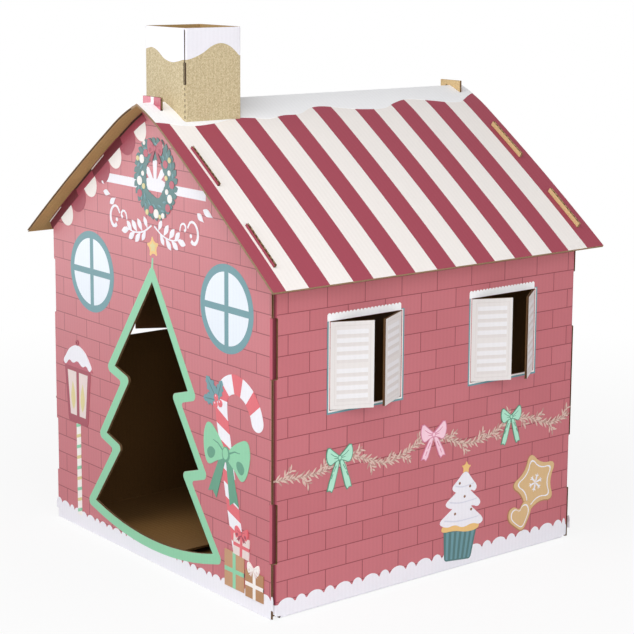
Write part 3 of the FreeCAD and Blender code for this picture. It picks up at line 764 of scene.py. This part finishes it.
def along_line(line, distance):
    """The point and the unit direction at a distance along a line."""
    for start, end in zip(line, line[1:]):
        run = (end - start).length
        if distance <= run or end is line[-1]:
            way = (end - start).normalized()
            return start + way * distance, way
        distance -= run


def length_of(line):
    return sum((end - start).length for start, end in zip(line, line[1:]))


def strip(line, width, start, end, slant=0, end_width=None):
    """A part of a band along a line, with ends that may slant."""
    steps = max(2, int((end - start) / 5) + 2)
    left, right = [], []
    for step in range(steps + 1):
        part = step / steps
        wide = width + ((width if end_width is None else end_width) - width) * part
        for edge, sign in ((left, 1), (right, -1)):
            spot, way = along_line(line, start + (end - start) * part + sign * slant)
            edge.append(tuple(spot + Vector((-way.y, way.x)) * sign * wide / 2))
    return left + right[::-1]


def ribbon(points, width, end_width=None):
    line = flow(points)
    return strip(line, width, 0, length_of(line) - 0.01, 0, end_width)


def bank(start, end, low, tops, widths, depth):
    """Heaped snow: a straight foot and a row of round humps that follow a line of tops."""
    humps, left, number = [], start, 0
    while left < end - 1:
        right = min(end, left + widths[number % len(widths)])
        for step in range(7):
            part = step / 7
            u = left + (right - left) * part
            height = next(b + (d - b) * (u - a) / (c - a)
                          for (a, b), (c, d) in zip(tops, tops[1:]) if u <= c + 0.01)
            humps.append((u, height - depth * (1 - sin(pi * part) ** 0.6)))
        left, number = right, number + 1
    return [(start, low)] + humps + [(end, tops[-1][1] - depth), (end, low)]


class Print:
    """Marks of ink on one panel, each mark a hair higher than the last."""

    def __init__(self, name, place, over=0, slot="wall_board"):
        self.name, self.place, self.slot = name, place, slot
        self.shape, self.inks, self.height = bmesh.new(), [], SUNK + over

    def mark(self, material, outline, *holes):
        if material not in self.inks:
            self.inks.append(material)
        self.height += LAYER
        faces = fill_loops(self.shape, [outline, *holes])
        for face in thicken(self.shape, faces, -SUNK, self.height):
            face.material_index = self.inks.index(material)

    def marks(self, material, outlines, steps=17):
        """Marks that may cross each other, each on one of a few levels."""
        base = self.height
        for number, outline in enumerate(outlines):
            self.height = base + HAIR * (number % steps)
            self.mark(material, outline)
        self.height = base + HAIR * min(len(outlines), steps) + 0.02

    def finish(self):
        bmesh.ops.transform(self.shape, matrix=self.place, verts=self.shape.verts)
        if self.place.determinant() < 0:
            bmesh.ops.reverse_faces(self.shape, faces=self.shape.faces)
        shown(self.name, self.shape, self.inks)


# ---- print on the gable walls

TONGUE_PITCH = 61.7  # of the valance's tongues
TAB_HALF = 35  # half the width of a roof tab
DOOR_RADII = (0, 6, 0, 6, 0, 0, 0, 6, 0, 6, 0)


def door_outline(wider, radii):
    """The tree-shaped doorway, clockwise from its right foot, over the top and back."""
    loop = [(DOOR_X + u, v) for u, v in DOOR[::-1]]
    half, steps = DOOR[0][0], 12
    for step in range(1, steps):
        u = half - 2 * half * step / steps
        loop.append((DOOR_X + u, SILL_MIDDLE_Z - sqrt(SILL_RADIUS ** 2 - u ** 2)))
    if wider:
        loop = widened(loop, wider)
    return filleted(loop, list(radii[::-1]) + [0] * (steps - 1))


def print_doorway():
    border = Print("doorway_border", FRONT)
    border.mark(MINT, ribbon([(DOOR_X + 6.5, 384), (-1.5, 402)], 5, 3))
    border.mark(MINT, door_outline(13, (7, 4, 7, 4, 7, 6, 7, 4, 7, 4, 7)),
                door_outline(0.15, DOOR_RADII)[::-1])
    border.finish()
    top = Print("treetop_star", FRONT)
    top.mark(GOLD, softened(star(-0.5, 416, 15.5, 7.2, 5, 6), 1))
    top.mark(STRAW, softened(star(-0.5, 416.3, 8.5, 4, 5, 6), 1))
    top.finish()


def print_round_window(name, u, v):
    window = Print(name, FRONT)
    window.mark(TEAL, oval(u, v, 109, 109, steps=56))
    reach, bar, steps = 45, 4.2, 12
    start, end = asin(bar / reach), acos(bar / reach)
    angles = [start + (end - start) * step / steps for step in range(steps + 1)]
    quarter = [(bar, bar)] + [(reach * cos(angle), reach * sin(angle)) for angle in angles]
    for across in (1, -1):
        for up in (1, -1):
            window.mark(PANE, [(u + across * a, v + up * b) for a, b in quarter])
    window.finish()


def print_valance(name, place):
    """A band under the sloping edge with round tongues that change between two colours."""
    for label, side, reach in (("left", -1, 21), ("right", 1, 8)):
        valance = Print("%s_%s" % (name, label), place)

        def under_edge(points):
            """Places from (level distance from the ridge, depth below the edge)."""
            spots = [roof_spot(x, ROOF_SKIN + depth) for x, depth in points]
            return [(side * spot.x, spot.y) for spot in spots]

        def tongue(middle, half):
            angles = [pi * step / 14 for step in range(15)]
            return under_edge([(middle + half * cos(angle), 12 + reach * sin(angle))
                               for angle in angles])

        for number in range(4):
            valance.mark(CREAM, tongue(37 + TONGUE_PITCH * number, 13.7))
        for number in range(3):
            valance.mark(BURGUNDY, tongue(67.8 + TONGUE_PITCH * number, 17.1))
        steps = [24 + 18.5 * step for step in range(13)]
        valance.mark(BURGUNDY, under_edge([(x, 1.2) for x in steps]
                                          + [(x - 4.8, 13) for x in steps[::-1]]))
        # painted shadow: a dark line right under the edge, where the roof shades the gap above the
        # wall
        valance.mark(DUSK_PAINTED_SHADE, under_edge([(x, 0.8) for x in steps] + [(x, 3.4) for x in steps[::-1]]))
        for x in ROOF_TABS:
            near, far = x - TAB_HALF, x + TAB_HALF
            # painted shade: a darker strip where each roof tab stands out over the band; the cream
            # line after it is the tab's pale end
            valance.mark(WINE_PAINTED_SHADE, under_edge([(near, 0.8), (x, 0.8), (far, 0.8),
                                           (far, 13), (x, 13), (near, 13)]))
            valance.mark(CREAM, under_edge([(x + 4, 1.2), (far, 1.2), (far, 3.2), (x + 4, 2.4)]))
        valance.finish()


def print_crossbar():
    bar = Print("gable_bar", FRONT)
    bar.mark(SNOW, rectangle(-115.6, 116, 487.4, 499.2))
    rays = [oval(6, 497, 30, 13)]
    for lean, tip in ((-68, 24), (-39, 33), (0, 39), (39, 33), (68, 24)):
        ray = [(-2.6, 4), (2.6, 4), (4.8, tip - 6), (0, tip), (-4.8, tip - 6)]
        rays.append(turned(ray, 6, 492, -lean))
    bar.marks(SNOW, rays)
    bar.finish()


def print_bow(bow, u, v, size, colour, shade, drop=1.25, spread=0.62, turn=0):
    """Two loops, a knot and two notched tails."""
    place = (u, v, turn, size)
    wing = softened([(0.05, 0.1), (0.4, 0.44), (0.86, 0.7), (1.04, 0.34), (0.98, -0.22),
                     (0.76, -0.56), (0.4, -0.3), (0.05, -0.12)])
    hollow = softened([(0.45, -0.02), (0.7, 0.02), (0.86, -0.16), (0.72, -0.36), (0.5, -0.24)])
    tail = [(0, -0.1), (0.26, -0.12), (spread + 0.22, -drop + 0.08),
            (spread + 0.02, -drop + 0.15), (spread - 0.16, -drop), (spread * 0.3, -drop * 0.5)]
    crease = ribbon([(0.16, 0.08), (0.38, 0.2), (0.6, 0.22)], 0.05, 0.02)
    for loop, material in ((tail, shade), (wing, colour), (hollow, shade), (crease, shade)):
        bow.marks(material, pair_of(loop, *place))
    bow.mark(shade, oval(u, v, size * 0.34, size * 0.42, turn))
    bow.mark(colour, oval(u - size * 0.02, v + size * 0.02, size * 0.24, size * 0.32, turn))


def print_wreath():
    wreath = Print("wreath", FRONT, 0.35)
    centre_u, centre_v, narrow = 7, 503.5, 0.93

    def around(reach, angle):
        return centre_u + reach * narrow * cos(angle), centre_v + reach * sin(angle)

    def ring(reach, count, length, width, lean, start, sway=0):
        """Leaves around the wreath that lean, and sway by some degrees from it."""
        angles = [2 * pi * (step + start) / count for step in range(count)]
        return [leaf(*around(reach, angle), length, width,
                     degrees(angle) + lean + sway * sin(5 * angle)) for angle in angles]

    wreath.mark(FIR, oval(centre_u, centre_v, 88, 92, steps=44),
                oval(centre_u, centre_v, 56, 60, steps=32)[::-1])
    wreath.marks(FIR, ring(30, 26, 14.62, 8, 118, 0, 9) + ring(38, 30, 12.9, 8, 68, 0.37, 9)
                 + ring(43, 32, 11.61, 8, 40, 0.74, 9))
    wreath.marks(TEAL, ring(33, 17, 10, 2.8, 70, 0.2) + ring(41, 19, 9, 2.8, 70, 0.2))
    berries = ((-22, 30), (25, 20), (-38, -22), (30, -34), (-10, -40), (40, -4))
    wreath.marks(ROSE, [oval(centre_u + a * narrow, centre_v + b, 10.5, 10) for a, b in berries])
    for material, balls in (
            (CREAM, ((-32, 22, 8.5), (-38, -6, 9), (-30, 4, 5), (2, -44, 9), (18, -45, 5.5),
                     (35, -22, 8.5), (28, -14, 5.5), (34, 10, 5.5), (-26, 43, 4.5),
                     (18, 42, 4.5))),
            (STRAW, ((-28, -12, 5.5), (-20, -44, 5.5), (11, -47, 4.5), (27, 3, 5),
                     (35, 26, 5.5), (-42, 22, 5)))):
        wreath.marks(material, [oval(centre_u + a * narrow, centre_v + b, size * 1.25, size * 1.3)
                                for a, b, size in balls])
    print_bow(wreath, centre_u + 1, centre_v + 38, 17, ROSE, BURGUNDY, 1.1)
    wreath.finish()


def print_flourish():
    """White scrolls and sprays under the wreath, the same on both sides."""
    spray = Print("white_flourish", FRONT)
    stalk = [(3, 443), (22, 433), (44, 430), (62, 434)]
    scroll = [(77, 450), (83, 458), (92, 457.5), (98.5, 449), (98, 438), (91, 431.5), (84.5, 435)]
    curl = [(60, 444), (62.5, 452), (69, 454.5), (73.5, 449.5), (70, 445)]
    outlines = [ribbon(stalk, 2.4, 1.6), ribbon(scroll, 2.6, 5.2), ribbon(curl, 2, 3.6),
                oval(84, 441, 5, 5)]
    outlines += [leaf(*place, 1.3) for place in (
        (12, 438, 17, 7.6, 60), (24, 433, 19, 8.6, 54), (36, 430.5, 19, 8.8, 50),
        (48, 430.5, 17, 8, 44), (16, 435.5, 17, 7.6, -58), (28, 431.5, 19, 8.6, -48),
        (41, 430, 18, 8.6, -34), (54, 432, 19, 8.6, -12))]
    spray.marks(SNOW, outlines)
    spray.marks(SNOW, [flipped(outline)[::-1] for outline in outlines])
    spray.marks(SNOW, [leaf(*place, 1.4) for place in (
        (-114, 484, 7, 3.6, 150), (-99, 472, 17, 8, 172), (-86, 469, 17, 8.4, 212),
        (112, 461, 17, 8.6, 145), (131, 469, 22, 9.2, 160))])
    spray.finish()


def print_cane():
    """A striped cane with a bow and holly."""
    cane = Print("striped_cane", FRONT, 0.1)
    line = flow([(183, 66), (169, 125), (156, 190), (147, 238), (153, 263), (175, 273.5),
                 (200, 266), (215, 249), (220, 236)], 8)
    full = length_of(line)
    cane.mark(SNOW, strip(line, 24, 0, full - 0.01))
    cane.mark(SNOW, oval(220, 236, 24, 24))
    at = 8
    while at < full - 20:
        cane.mark(RED, strip(line, 24.1, at, at + 17, -1 if at > full * 0.62 else 8))
        at += 36
    cane.finish()
    bow = Print("cane_bow", FRONT, 0.6)
    print_bow(bow, 157, 183, 47, MINT, MINT_SHADE, 1.3, 0.46, -6)
    bow.finish()
    holly = Print("cane_holly", FRONT, 0.6)
    edge = [(28 * step / 8, 8 * sin(pi * step / 8) ** 0.7 * (1 if step % 2 else 0.62))
            for step in range(8)]
    outline = edge + [(28, 0)] + [(a, -b) for a, b in edge[:0:-1]]
    for turn, size in ((132, 1.25), (184, 1.05), (70, 1)):
        place = (139, 247, turn)
        holly.mark(TEAL, turned(outline, *place, size))
        holly.mark(FIR, leaf(*turned([(2, 0)], *place)[0], 24 * size, 1.6, turn))
    holly.marks(RED, [oval(u, v, 9, 9) for u, v in ((137, 250), (145, 244), (135, 241))])
    holly.marks(PINK, [oval(u, v, 2.4, 2.4) for u, v in ((136, 252), (144, 246), (134, 243))])
    holly.finish()


def print_lantern():
    """A lantern on a ringed post."""
    post = Print("post_lantern", FRONT, 0.1)
    post.mark(CREAM, rectangle(-194, -183, 17, 152))
    for step in range(9):
        v = 20 + 15 * step
        post.mark(STRAW if step % 2 else MINT,
                  [(-194, v), (-183, v + 4), (-183, v + 8.5), (-194, v + 4.5)])
    post.mark(BURGUNDY, filleted([(-214, 152), (-212, 146), (-165, 146), (-163, 152),
                                  (-155, 224), (-222, 224)], (2, 2, 2, 2, 4, 4)))
    post.mark(ROSE, [(-228, 224), (-149, 224), (-170, 244), (-207, 244)])
    post.mark(BLUSH, [(-208, 157), (-192, 157), (-192, 218), (-214.5, 218)])
    post.mark(BLUSH, [(-185, 157), (-169, 157), (-162.5, 218), (-185, 218)])
    post.marks(STRAW, [leaf(-200, 164, 40, 11, 92, 0.8), leaf(-177, 164, 40, 11, 88, 0.8)])
    post.mark(SNOW, softened([(-226, 229), (-218, 238), (-208, 250), (-188, 257), (-169, 250),
                              (-158, 238), (-151, 229), (-158, 223), (-166, 232), (-176, 226),
                              (-188, 235), (-200, 228), (-210, 234), (-219, 223)]))
    post.mark(BURGUNDY, oval(-188.5, 259, 8, 8), oval(-188.5, 259, 3.6, 3.6)[::-1])
    post.finish()


def print_parcel(parcel, u, v, width, height, colour, band, turn=0):
    """A box tied crosswise, with its lower left corner at a point."""
    def piece(low_a, high_a, low_b, high_b):
        return turned(rectangle(low_a, high_a, low_b, high_b), u, v, turn)
    parcel.mark(colour, piece(0, width, 0, height))
    parcel.mark(band, piece(width * 0.42, width * 0.58, 0, height))
    parcel.mark(band, piece(0, width, height * 0.42, height * 0.42 + width * 0.14))


def print_parcels():
    """A heap of three parcels."""
    heap = Print("parcels", FRONT, 0.9)
    print_parcel(heap, 154, 18, 40, 46, HAZEL, MINT)
    print_parcel(heap, 197, 16, 36, 34, BROWN, CREAM)
    print_parcel(heap, 172, 63, 32, 26, BLUSH, RED, -3)
    print_bow(heap, 213, 53, 12, CREAM, BLUSH, 0.8, 0.5)
    print_bow(heap, 189, 91, 13, RED, BURGUNDY, 0.8, 0.5)
    heap.finish()


def print_foot(name, place, start, end, tops, widths, depth):
    foot = Print(name, place)
    foot.mark(SNOW, bank(start, end, SNOW_LINE - 6, tops, widths, depth))
    foot.finish()


GABLE_TOPS = ((-252, 29), (-180, 24), (-112, 22.5), (0, 23.5), (120, 24), (200, 27), (252, 30))

for name, place in (("front", FRONT), ("back", BACK)):
    print_foot(name + "_snow", place, -251.5, 251.5, GABLE_TOPS, (15, 21, 12, 18), 6)
    print_valance(name + "_valance", place)
print_doorway()
print_round_window("left_round_window", -148, 362.7)
print_round_window("right_round_window", 158, 362.7)
print_crossbar()
print_wreath()
print_flourish()
print_cane()
print_lantern()
print_parcels()

RIDGE_TAB_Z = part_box("front_wall")[1].z / MM - 0.1
for name, place in (("front", FRONT), ("back", BACK)):
    tab = Print(name + "_ridge_tab", place)
    foot = [tuple(roof_spot(19.9 - 4 * step, ROOF_SKIN)) for step in range(5)]
    foot += [(0, ridge_height(ROOF_SKIN))] + flipped(foot[::-1])
    tab.mark(CORAL, foot + [(-19.9, RIDGE_TAB_Z), (19.9, RIDGE_TAB_Z)])
    tab.mark(SNOW, rectangle(-2, 4.5, ridge_height(ROOF_SKIN), RIDGE_TAB_Z))
    tab.mark(ROSE, rectangle(4.5, 19.8, ridge_height(ROOF_SKIN), RIDGE_TAB_Z))
    tab.finish()


# ---- print on the side walls

SLAT_PITCH = 10.4  # of the shutters' slats


def print_window_frame(name, place, start):
    """A thin frame round a window, with snow along its top."""
    end = start + WINDOW_WIDTH
    trim = Print(name, place)
    hole = rectangle(start - 1, end + 1, SILL_Z - 0.2, HEAD_Z + 0.2)[::-1]
    trim.mark(TEAL, rectangle(start - 4.6, end + 4.6, SILL_Z - 4.6, HEAD_Z + 2), hole)
    trim.mark(CREAM, rectangle(start - 2.4, end + 2.4, SILL_Z - 2.2, HEAD_Z + 1), hole)
    tops = ((start - 6, HEAD_Z + 10), (end + 6, HEAD_Z + 10))
    trim.mark(ICE, bank(start - 4.5, end - 1, HEAD_Z + 0.3, tops, (6, 5), 2.2))
    trim.finish()


def print_shutter(name, place):
    """Two panels of slats in a frame on one leaf."""
    board = Print(name, place)
    low, high = SILL_Z + 5.5, HEAD_Z - 5.5
    board.mark(SLAT_SHADE, rectangle(5, 50.5, low, high),
               rectangle(6.1, 49.4, low + 1.1, high - 1.1)[::-1])
    for foot in (low + 6, (low + high) / 2 + 4.5):
        for material, start, end in ((SLAT_SHADE, -1.6, 2.4), (SLAT, 2.4, 7.8)):
            feet = [foot + SLAT_PITCH * step for step in range(4)]
            board.marks(material, [rectangle(8, 47, v + start, v + end) for v in feet], 1)
    board.finish()


GARLAND = ((1, 171), (9, 171), (47, 169.5), (78, 171), (100, 182), (130, 178), (172, 164),
           (200, 168), (223, 177), (253, 185), (280, 175), (299, 167), (330, 164), (362, 172),
           (389, 184), (418, 181), (456, 168), (480, 169), (499, 174))


def print_knot(name, place, u, v, size, colour, shade, drop):
    """A bow with an outline and stitched tails, hung on the garland."""
    knot = Print(name, place, 0.75)
    wing = [(0.04, 0.1), (0.5, 0.46), (0.96, 0.86), (1.12, 0.36), (1.04, -0.14),
            (0.8, -0.42), (0.4, -0.2), (0.04, -0.12)]
    tail = [(0.02, -0.1), (0.3, -0.16), (1.06, -drop + 0.16), (0.84, -drop + 0.2),
            (0.62, -drop), (0.24, -drop * 0.45)]
    loops = []
    for outline in (tail, wing):
        soft = softened(outline, 1)
        loops += [(widened(soft, 0.06), shade), (soft, colour)]
    for crease in (((0.16, 0.06), (0.5, 0.2), (0.8, 0.42)), ((0.16, -0.02), (0.5, 0.02)),
                   ((0.3, -0.5), (0.52, -0.9)), ((0.58, -1.05), (0.72, -1.35))):
        loops.append((ribbon(crease, 0.06, 0.04), shade))
    for loop, material in loops:
        knot.marks(material, pair_of(loop, u, v, 0, size))
    knot.mark(shade, oval(u, v, size * 0.34, size * 0.36))
    knot.mark(colour, oval(u, v, size * 0.24, size * 0.26))
    knot.finish()


def print_garland(name, place):
    garland = Print(name, place)
    line = flow(GARLAND)
    full = length_of(line)
    dark, pale = [], []

    def needles(spot, turn, reach, number):
        """Two needles that lean out to both sides."""
        for side in (1, -1):
            vary = sin(number * 2.4 + side)
            needle = leaf(spot.x, spot.y, reach + 2.2 * vary, 2.1, turn + side * (34 + 15 * vary))
            (pale if (number + side) % 3 else dark).append(needle)

    at, number = 3, 0
    while at < full - 8:
        spot, way = along_line(line, at)
        turn = degrees(atan2(way.y, way.x))
        needles(spot, turn, 8, number)
        if number % 8 == 3:
            lean = radians(turn + (40 if number % 16 == 3 else -40))
            for step in range(4):
                twig = spot + Vector((cos(lean), sin(lean))) * (4 + 3.6 * step)
                needles(twig, degrees(lean), 7.5, number + step)
        at, number = at + 3.4, number + 1
    garland.mark(TWIG, strip(line, 2.4, 0, full - 0.01))
    garland.marks(TWIG, dark, 13)
    garland.marks(TWIG_LIGHT, pale, 13)
    garland.finish()
    for label, u, v, size, colour, shade, drop in (
            ("first", 100.5, 183, 18, PALE_MINT, MINT_SHADE, 2.3),
            ("middle", 253, 186, 19, PINK, BLOSSOM, 1.7),
            ("last", 389, 187, 16, PALE_MINT, MINT_SHADE, 2.3)):
        print_knot("%s_%s_bow" % (name, label), place, u, v, size, colour, shade, drop)


def print_potted_fir(name, place):
    """A snowy fir in a ribbed pot, leaning a little."""
    fir = Print(name, place, 0.1)
    base = (298, 11, -6)

    def mark(material, loop):
        fir.mark(material, turned(loop, *base))

    mark(FIR, filleted([(-29, 40), (29, 40), (23, 0), (-23, 0)], (2, 2, 5, 5)))
    fir.marks(TEAL, [turned([(x * 1.18, 38), (x * 1.18 + 4.6, 38), (x + 3.6, 2), (x, 2)], *base)
                     for x in (-20.5, -12.6, -5, 2.6, 10.2, 17.4)])
    mark(GOLD, softened([(-33, 38), (-33, 47), (-12, 51), (10, 47), (33, 49), (33, 39),
                         (12, 36), (-10, 40)]))
    for foot, half, height in ((44, 41, 38), (68, 33, 33), (89, 23, 31)):
        mark(SNOW, softened([(half * a, foot + height * b + c) for a, b, c in (
            (-1, 0, 7), (-0.6, 0, 0), (-0.25, 0, 4), (0.1, 0, -2), (0.5, 0, 4), (0.85, 0, 0),
            (1, 0, 8), (0.55, 0.55, 0), (0, 1, 0), (-0.55, 0.55, 0))]))
        mark(SNOW_SHADE, ribbon([(-half * 0.72, foot + 10), (-half * 0.2, foot + 8),
                                 (half * 0.4, foot + 10), (half * 0.74, foot + 12)], 2, 1.2))
    fir.marks(COCOA, [oval(*turned([spot], *base)[0], 3.6, 3.6)
                      for spot in ((-12, 62), (16, 66), (2, 84), (-9, 102), (10, 97))])
    mark(GOLD, softened(star(0, 122, 9, 4.2, 5), 1))
    fir.finish()


def print_cookies(name, place):
    """A star-shaped and a heart-shaped biscuit with white icing."""
    cookies = Print(name, place, 0.1)
    turn = 14
    middle = (437.8, 88.8)
    biscuit, icing = (softened(star(0, 0, *reach, 5)) for reach in ((46, 26), (38, 20.5)))
    cookies.mark(BROWN, turned(biscuit, 437, 88, turn, 1.03))
    cookies.mark(TAN, turned(biscuit, *middle, turn))
    cookies.mark(SNOW, turned(icing, *middle, turn), turned(icing, *middle, turn, 0.93)[::-1])
    flake = []
    for step in range(6):
        ray = 60 * step + turn
        flake.append(leaf(*middle, 13, 2.6, ray, 0.9))
        tip = turned([(8, 0)], *middle, ray)[0]
        flake += [leaf(*tip, 4.5, 1.5, ray + lean) for lean in (50, -50)]
    cookies.marks(SNOW, flake)
    heart = softened([(0, -21), (-12, -9), (-22, 4), (-19, 17), (-8, 19), (0, 10), (8, 19),
                      (19, 17), (22, 4), (12, -9)])
    cookies.mark(BROWN, turned(heart, 410.4, 45.2, 12, 1.05))
    cookies.mark(TAN, turned(heart, 411, 46, 12))
    cookies.mark(SNOW, turned(heart, 411, 46, 12, 0.8), turned(heart, 411, 46, 12, 0.72)[::-1])
    cookies.finish()


SIDE_TOPS = ((2, 24), (130, 25), (260, 26), (400, 27), (502, 28))

for name, side in (("right", 1), ("left", -1)):
    place = side_face(side, FRONT_Y)
    print_foot(name + "_snow", place, 7.2, 497.8, SIDE_TOPS, (27, 17), 7.5)
    print_window_frame(name + "_front_window", place, 85)
    print_window_frame(name + "_back_window", place, 315)
    for number, shutter in enumerate(shutter_places(side), 1):
        print_shutter("%s_shutter_%d" % (name, number), shutter)
    print_garland(name + "_garland", place)
    print_potted_fir(name + "_potted_fir", place)
    print_cookies(name + "_cookies", place)


# ---- snow on roof and chimney

# The snow's lower edge: how far from the ridge it reaches, along the house from its front.
SNOW_REACH = ((-24, 41), (-10, 43.5), (10, 49), (32, 51.3), (62, 49), (97, 43), (122, 44.5),
              (146, 48), (172, 43.5), (199, 43), (225, 33), (248, 31.5), (285, 39.5), (320, 43),
              (345, 42.5), (368, 34), (392, 28), (412, 29.5), (440, 35), (468, 40), (488, 39),
              (510, 28.5), (525, 22.5))


def ridge_snow():
    """A thin cap over the ridge with a wavy lower edge on both slopes."""
    def skin(rise):
        right = [tuple(roof_spot(66 - 3 * step, -rise)) for step in range(21)]
        return right + [(0, ridge_height(-rise))] + flipped(right[::-1])

    cap = bmesh.new()
    thicken(cap, fill_loops(cap, [skin(0.25) + skin(-0.1)[::-1]]),
            ROOF_FRONT_Y + 0.05, ROOF_BACK_Y - 0.05)
    settle(cap, place_on((0, 0, 0), (1, 0, 0), (0, 1, 0)))
    target = held("ridge_snow_cap", cap)
    edge = [tuple(point) for point in flow([(x, FRONT_Y + y) for y, x in SNOW_REACH])]
    outline = edge + [(-u, v) for u, v in edge[::-1]]
    slots = [rectangle(-20.4, 20.4, y - 0.4, y + BOARD + 0.4) for y in (FRONT_Y, BACK_Y - BOARD)]
    cutter = bmesh.new()
    thicken(cutter, fill_loops(cutter, [outline] + slots), 500, 640)
    bmesh.ops.transform(cutter, matrix=Matrix.Scale(MM, 4), verts=cutter.verts)
    tool = held("ridge_snow_edge", cutter)
    combine(target, tool, "INTERSECT")
    discard(tool)
    shape = bmesh.new()
    shape.from_mesh(target.data)
    discard(target)
    shown("ridge_snow", shape, [ICE])


ridge_snow()

# The lower edge of the white on each wall: (part of the way across, height).
CHIMNEY_SNOW = (
    ((0, 662), (0.16, 664.5), (0.33, 660), (0.5, 651.5), (0.7, 648), (0.86, 649.5), (1, 652)),
    ((0, 652), (0.12, 654), (0.3, 659.5), (0.48, 668), (0.66, 671), (0.84, 666), (1, 655)),
    ((0, 655), (0.2, 650), (0.45, 656), (0.7, 668), (0.88, 665), (1, 659)),
    ((0, 659), (0.22, 652), (0.45, 650), (0.68, 660), (0.88, 664), (1, 662)),
)

for (name, place, start, end), edge in zip(CHIMNEY_WALLS, CHIMNEY_SNOW):
    start, end, top = start + FOLD - 0.2, end - FOLD + 0.2, CHIMNEY_HIGH.z - 0.05
    wave = flow([(start + (end - start) * part, height) for part, height in edge])
    white = Print("chimney_%s_snow" % name, place, slot="chimney_board")
    white.mark(SNOW, [tuple(point) for point in wave] + [(end, top), (start, top)])
    white.finish()

# The chimney's near front corner: painted shade in the crease above the slit, and the real cuts
# below it and round the slit drawn dark as the shade in them.
inset = FOLD * (1 - sqrt(0.5))
corner = place_on((CHIMNEY_HIGH.x - inset, CHIMNEY_LOW.y + inset, 0),
                  Vector((1, 1, 0)).normalized())
crease = Print("chimney_painted_crease_shade", corner, slot="chimney_board")
crease.mark(DUSK_PAINTED_SHADE, [(-0.6, CHIMNEY_SLIT[1]), (0.5, CHIMNEY_SLIT[1]),
                   (0.7, CHIMNEY_HIGH.z - 3), (-0.7, CHIMNEY_HIGH.z - 1)])
for step in range(8):
    foot = CHIMNEY_SLIT[0] - 7 - 7 * step
    crease.mark(DUSK_PAINTED_SHADE, rectangle(-0.45, 0.45, foot, foot + 3.6))
crease.mark(DUSK_PAINTED_SHADE, rectangle(-1.5, 1.5, *CHIMNEY_SLIT),
            rectangle(-0.5, 0.5, CHIMNEY_SLIT[0] + 0.5, CHIMNEY_SLIT[1] - 0.5)[::-1])
crease.finish()


# ---- floor, light and camera

def lamp(name, place, target, size, power):
    """A square white lamp that faces its target."""
    data = bpy.data.lights.new(name, "AREA")
    data.shape, data.size, data.energy = "SQUARE", size, power
    light = bpy.data.objects.new(name, data)
    SCENE.collection.objects.link(light)
    light.location = place
    light.rotation_euler = (Vector(target) - Vector(place)).to_track_quat("-Z", "Y").to_euler()
    return light


def pale_floor():
    """A plain pale floor that keeps the house's shadow and runs out into white."""
    material, tree = new_material("pale_floor")
    place = make(tree, "TexCoord")
    away = make(tree, "VectorMath", {0: place.outputs["Object"]}, operation="LENGTH")
    fade = make(tree, "MapRange", {0: away.outputs["Value"], 1: 0.4, 2: 1.4, 3: 0.88, 4: 1})
    seen = make(tree, "LightPath").outputs["Is Camera Ray"]
    share = maths(tree, "MULTIPLY", seen, fade.outputs[0])
    lit = make(tree, "BsdfDiffuse", {"Color": (0.86, 0.86, 0.87, 1)})
    white = make(tree, "Emission", {"Color": (1, 1, 1, 1), "Strength": 1})
    both = make(tree, "MixShader", {0: share, 1: lit.outputs[0], 2: white.outputs[0]})
    make(tree, "OutputMaterial", {"Surface": both.outputs[0]})
    shape = bmesh.new()
    bmesh.ops.create_circle(shape, cap_ends=True, segments=96, radius=30)
    bmesh.ops.translate(shape, verts=shape.verts, vec=(0, 0, -0.0005))
    floor = held("floor", shape)
    floor.data.materials.append(material)


pale_floor()

world = bpy.data.worlds.new("studio")
SCENE.world = world
world.use_nodes = True
tree = world.node_tree
tree.nodes.clear()
path = make(tree, "LightPath")
direct = maths(tree, "MAXIMUM", path.outputs["Is Camera Ray"],
               maths(tree, "MAXIMUM", path.outputs["Is Glossy Ray"],
                     path.outputs["Is Transmission Ray"]))
strength = make(tree, "Mix", {0: direct, 2: 0.22, 3: 1})
sky = make(tree, "Background", {"Color": (1, 1, 1, 1), "Strength": strength.outputs[0]})
make(tree, "OutputWorld", {"Surface": sky.outputs[0]})

lamp("key", (0, -2.6, 1.4), (0, -0.15, 0.3), 1.4, 20.5)
lamp("fill", (1.7, -0.9, 1.1), (0.1, 0, 0.3), 1.3, 16.5)
lamp("rim", (2.3, 1.1, 0.5), (0.25, 0, 0.35), 1.2, 12)
sheen = lamp("sheen", (-2.1, -1.45, 0.78), (0, -0.25, 0.3), 1.5, 80)
sheen.visible_diffuse = False
lamp("top", (0.5, -1.5, 2.5), (0, 0, 0.3), 1.5, 20.5)

camera_data = bpy.data.cameras.new("camera")
camera_data.sensor_width = 36
camera_data.lens = 100.63
camera_data.shift_x = -0.0035
camera_data.shift_y = -0.1076
camera = bpy.data.objects.new("camera", camera_data)
SCENE.collection.objects.link(camera)
camera.location = (1.84525, -1.45694, 0.78921)
camera.rotation_euler = [radians(turn) for turn in (80.331, -0.366, 51.454)]
SCENE.camera = camera

SCENE.view_settings.view_transform = "Standard"
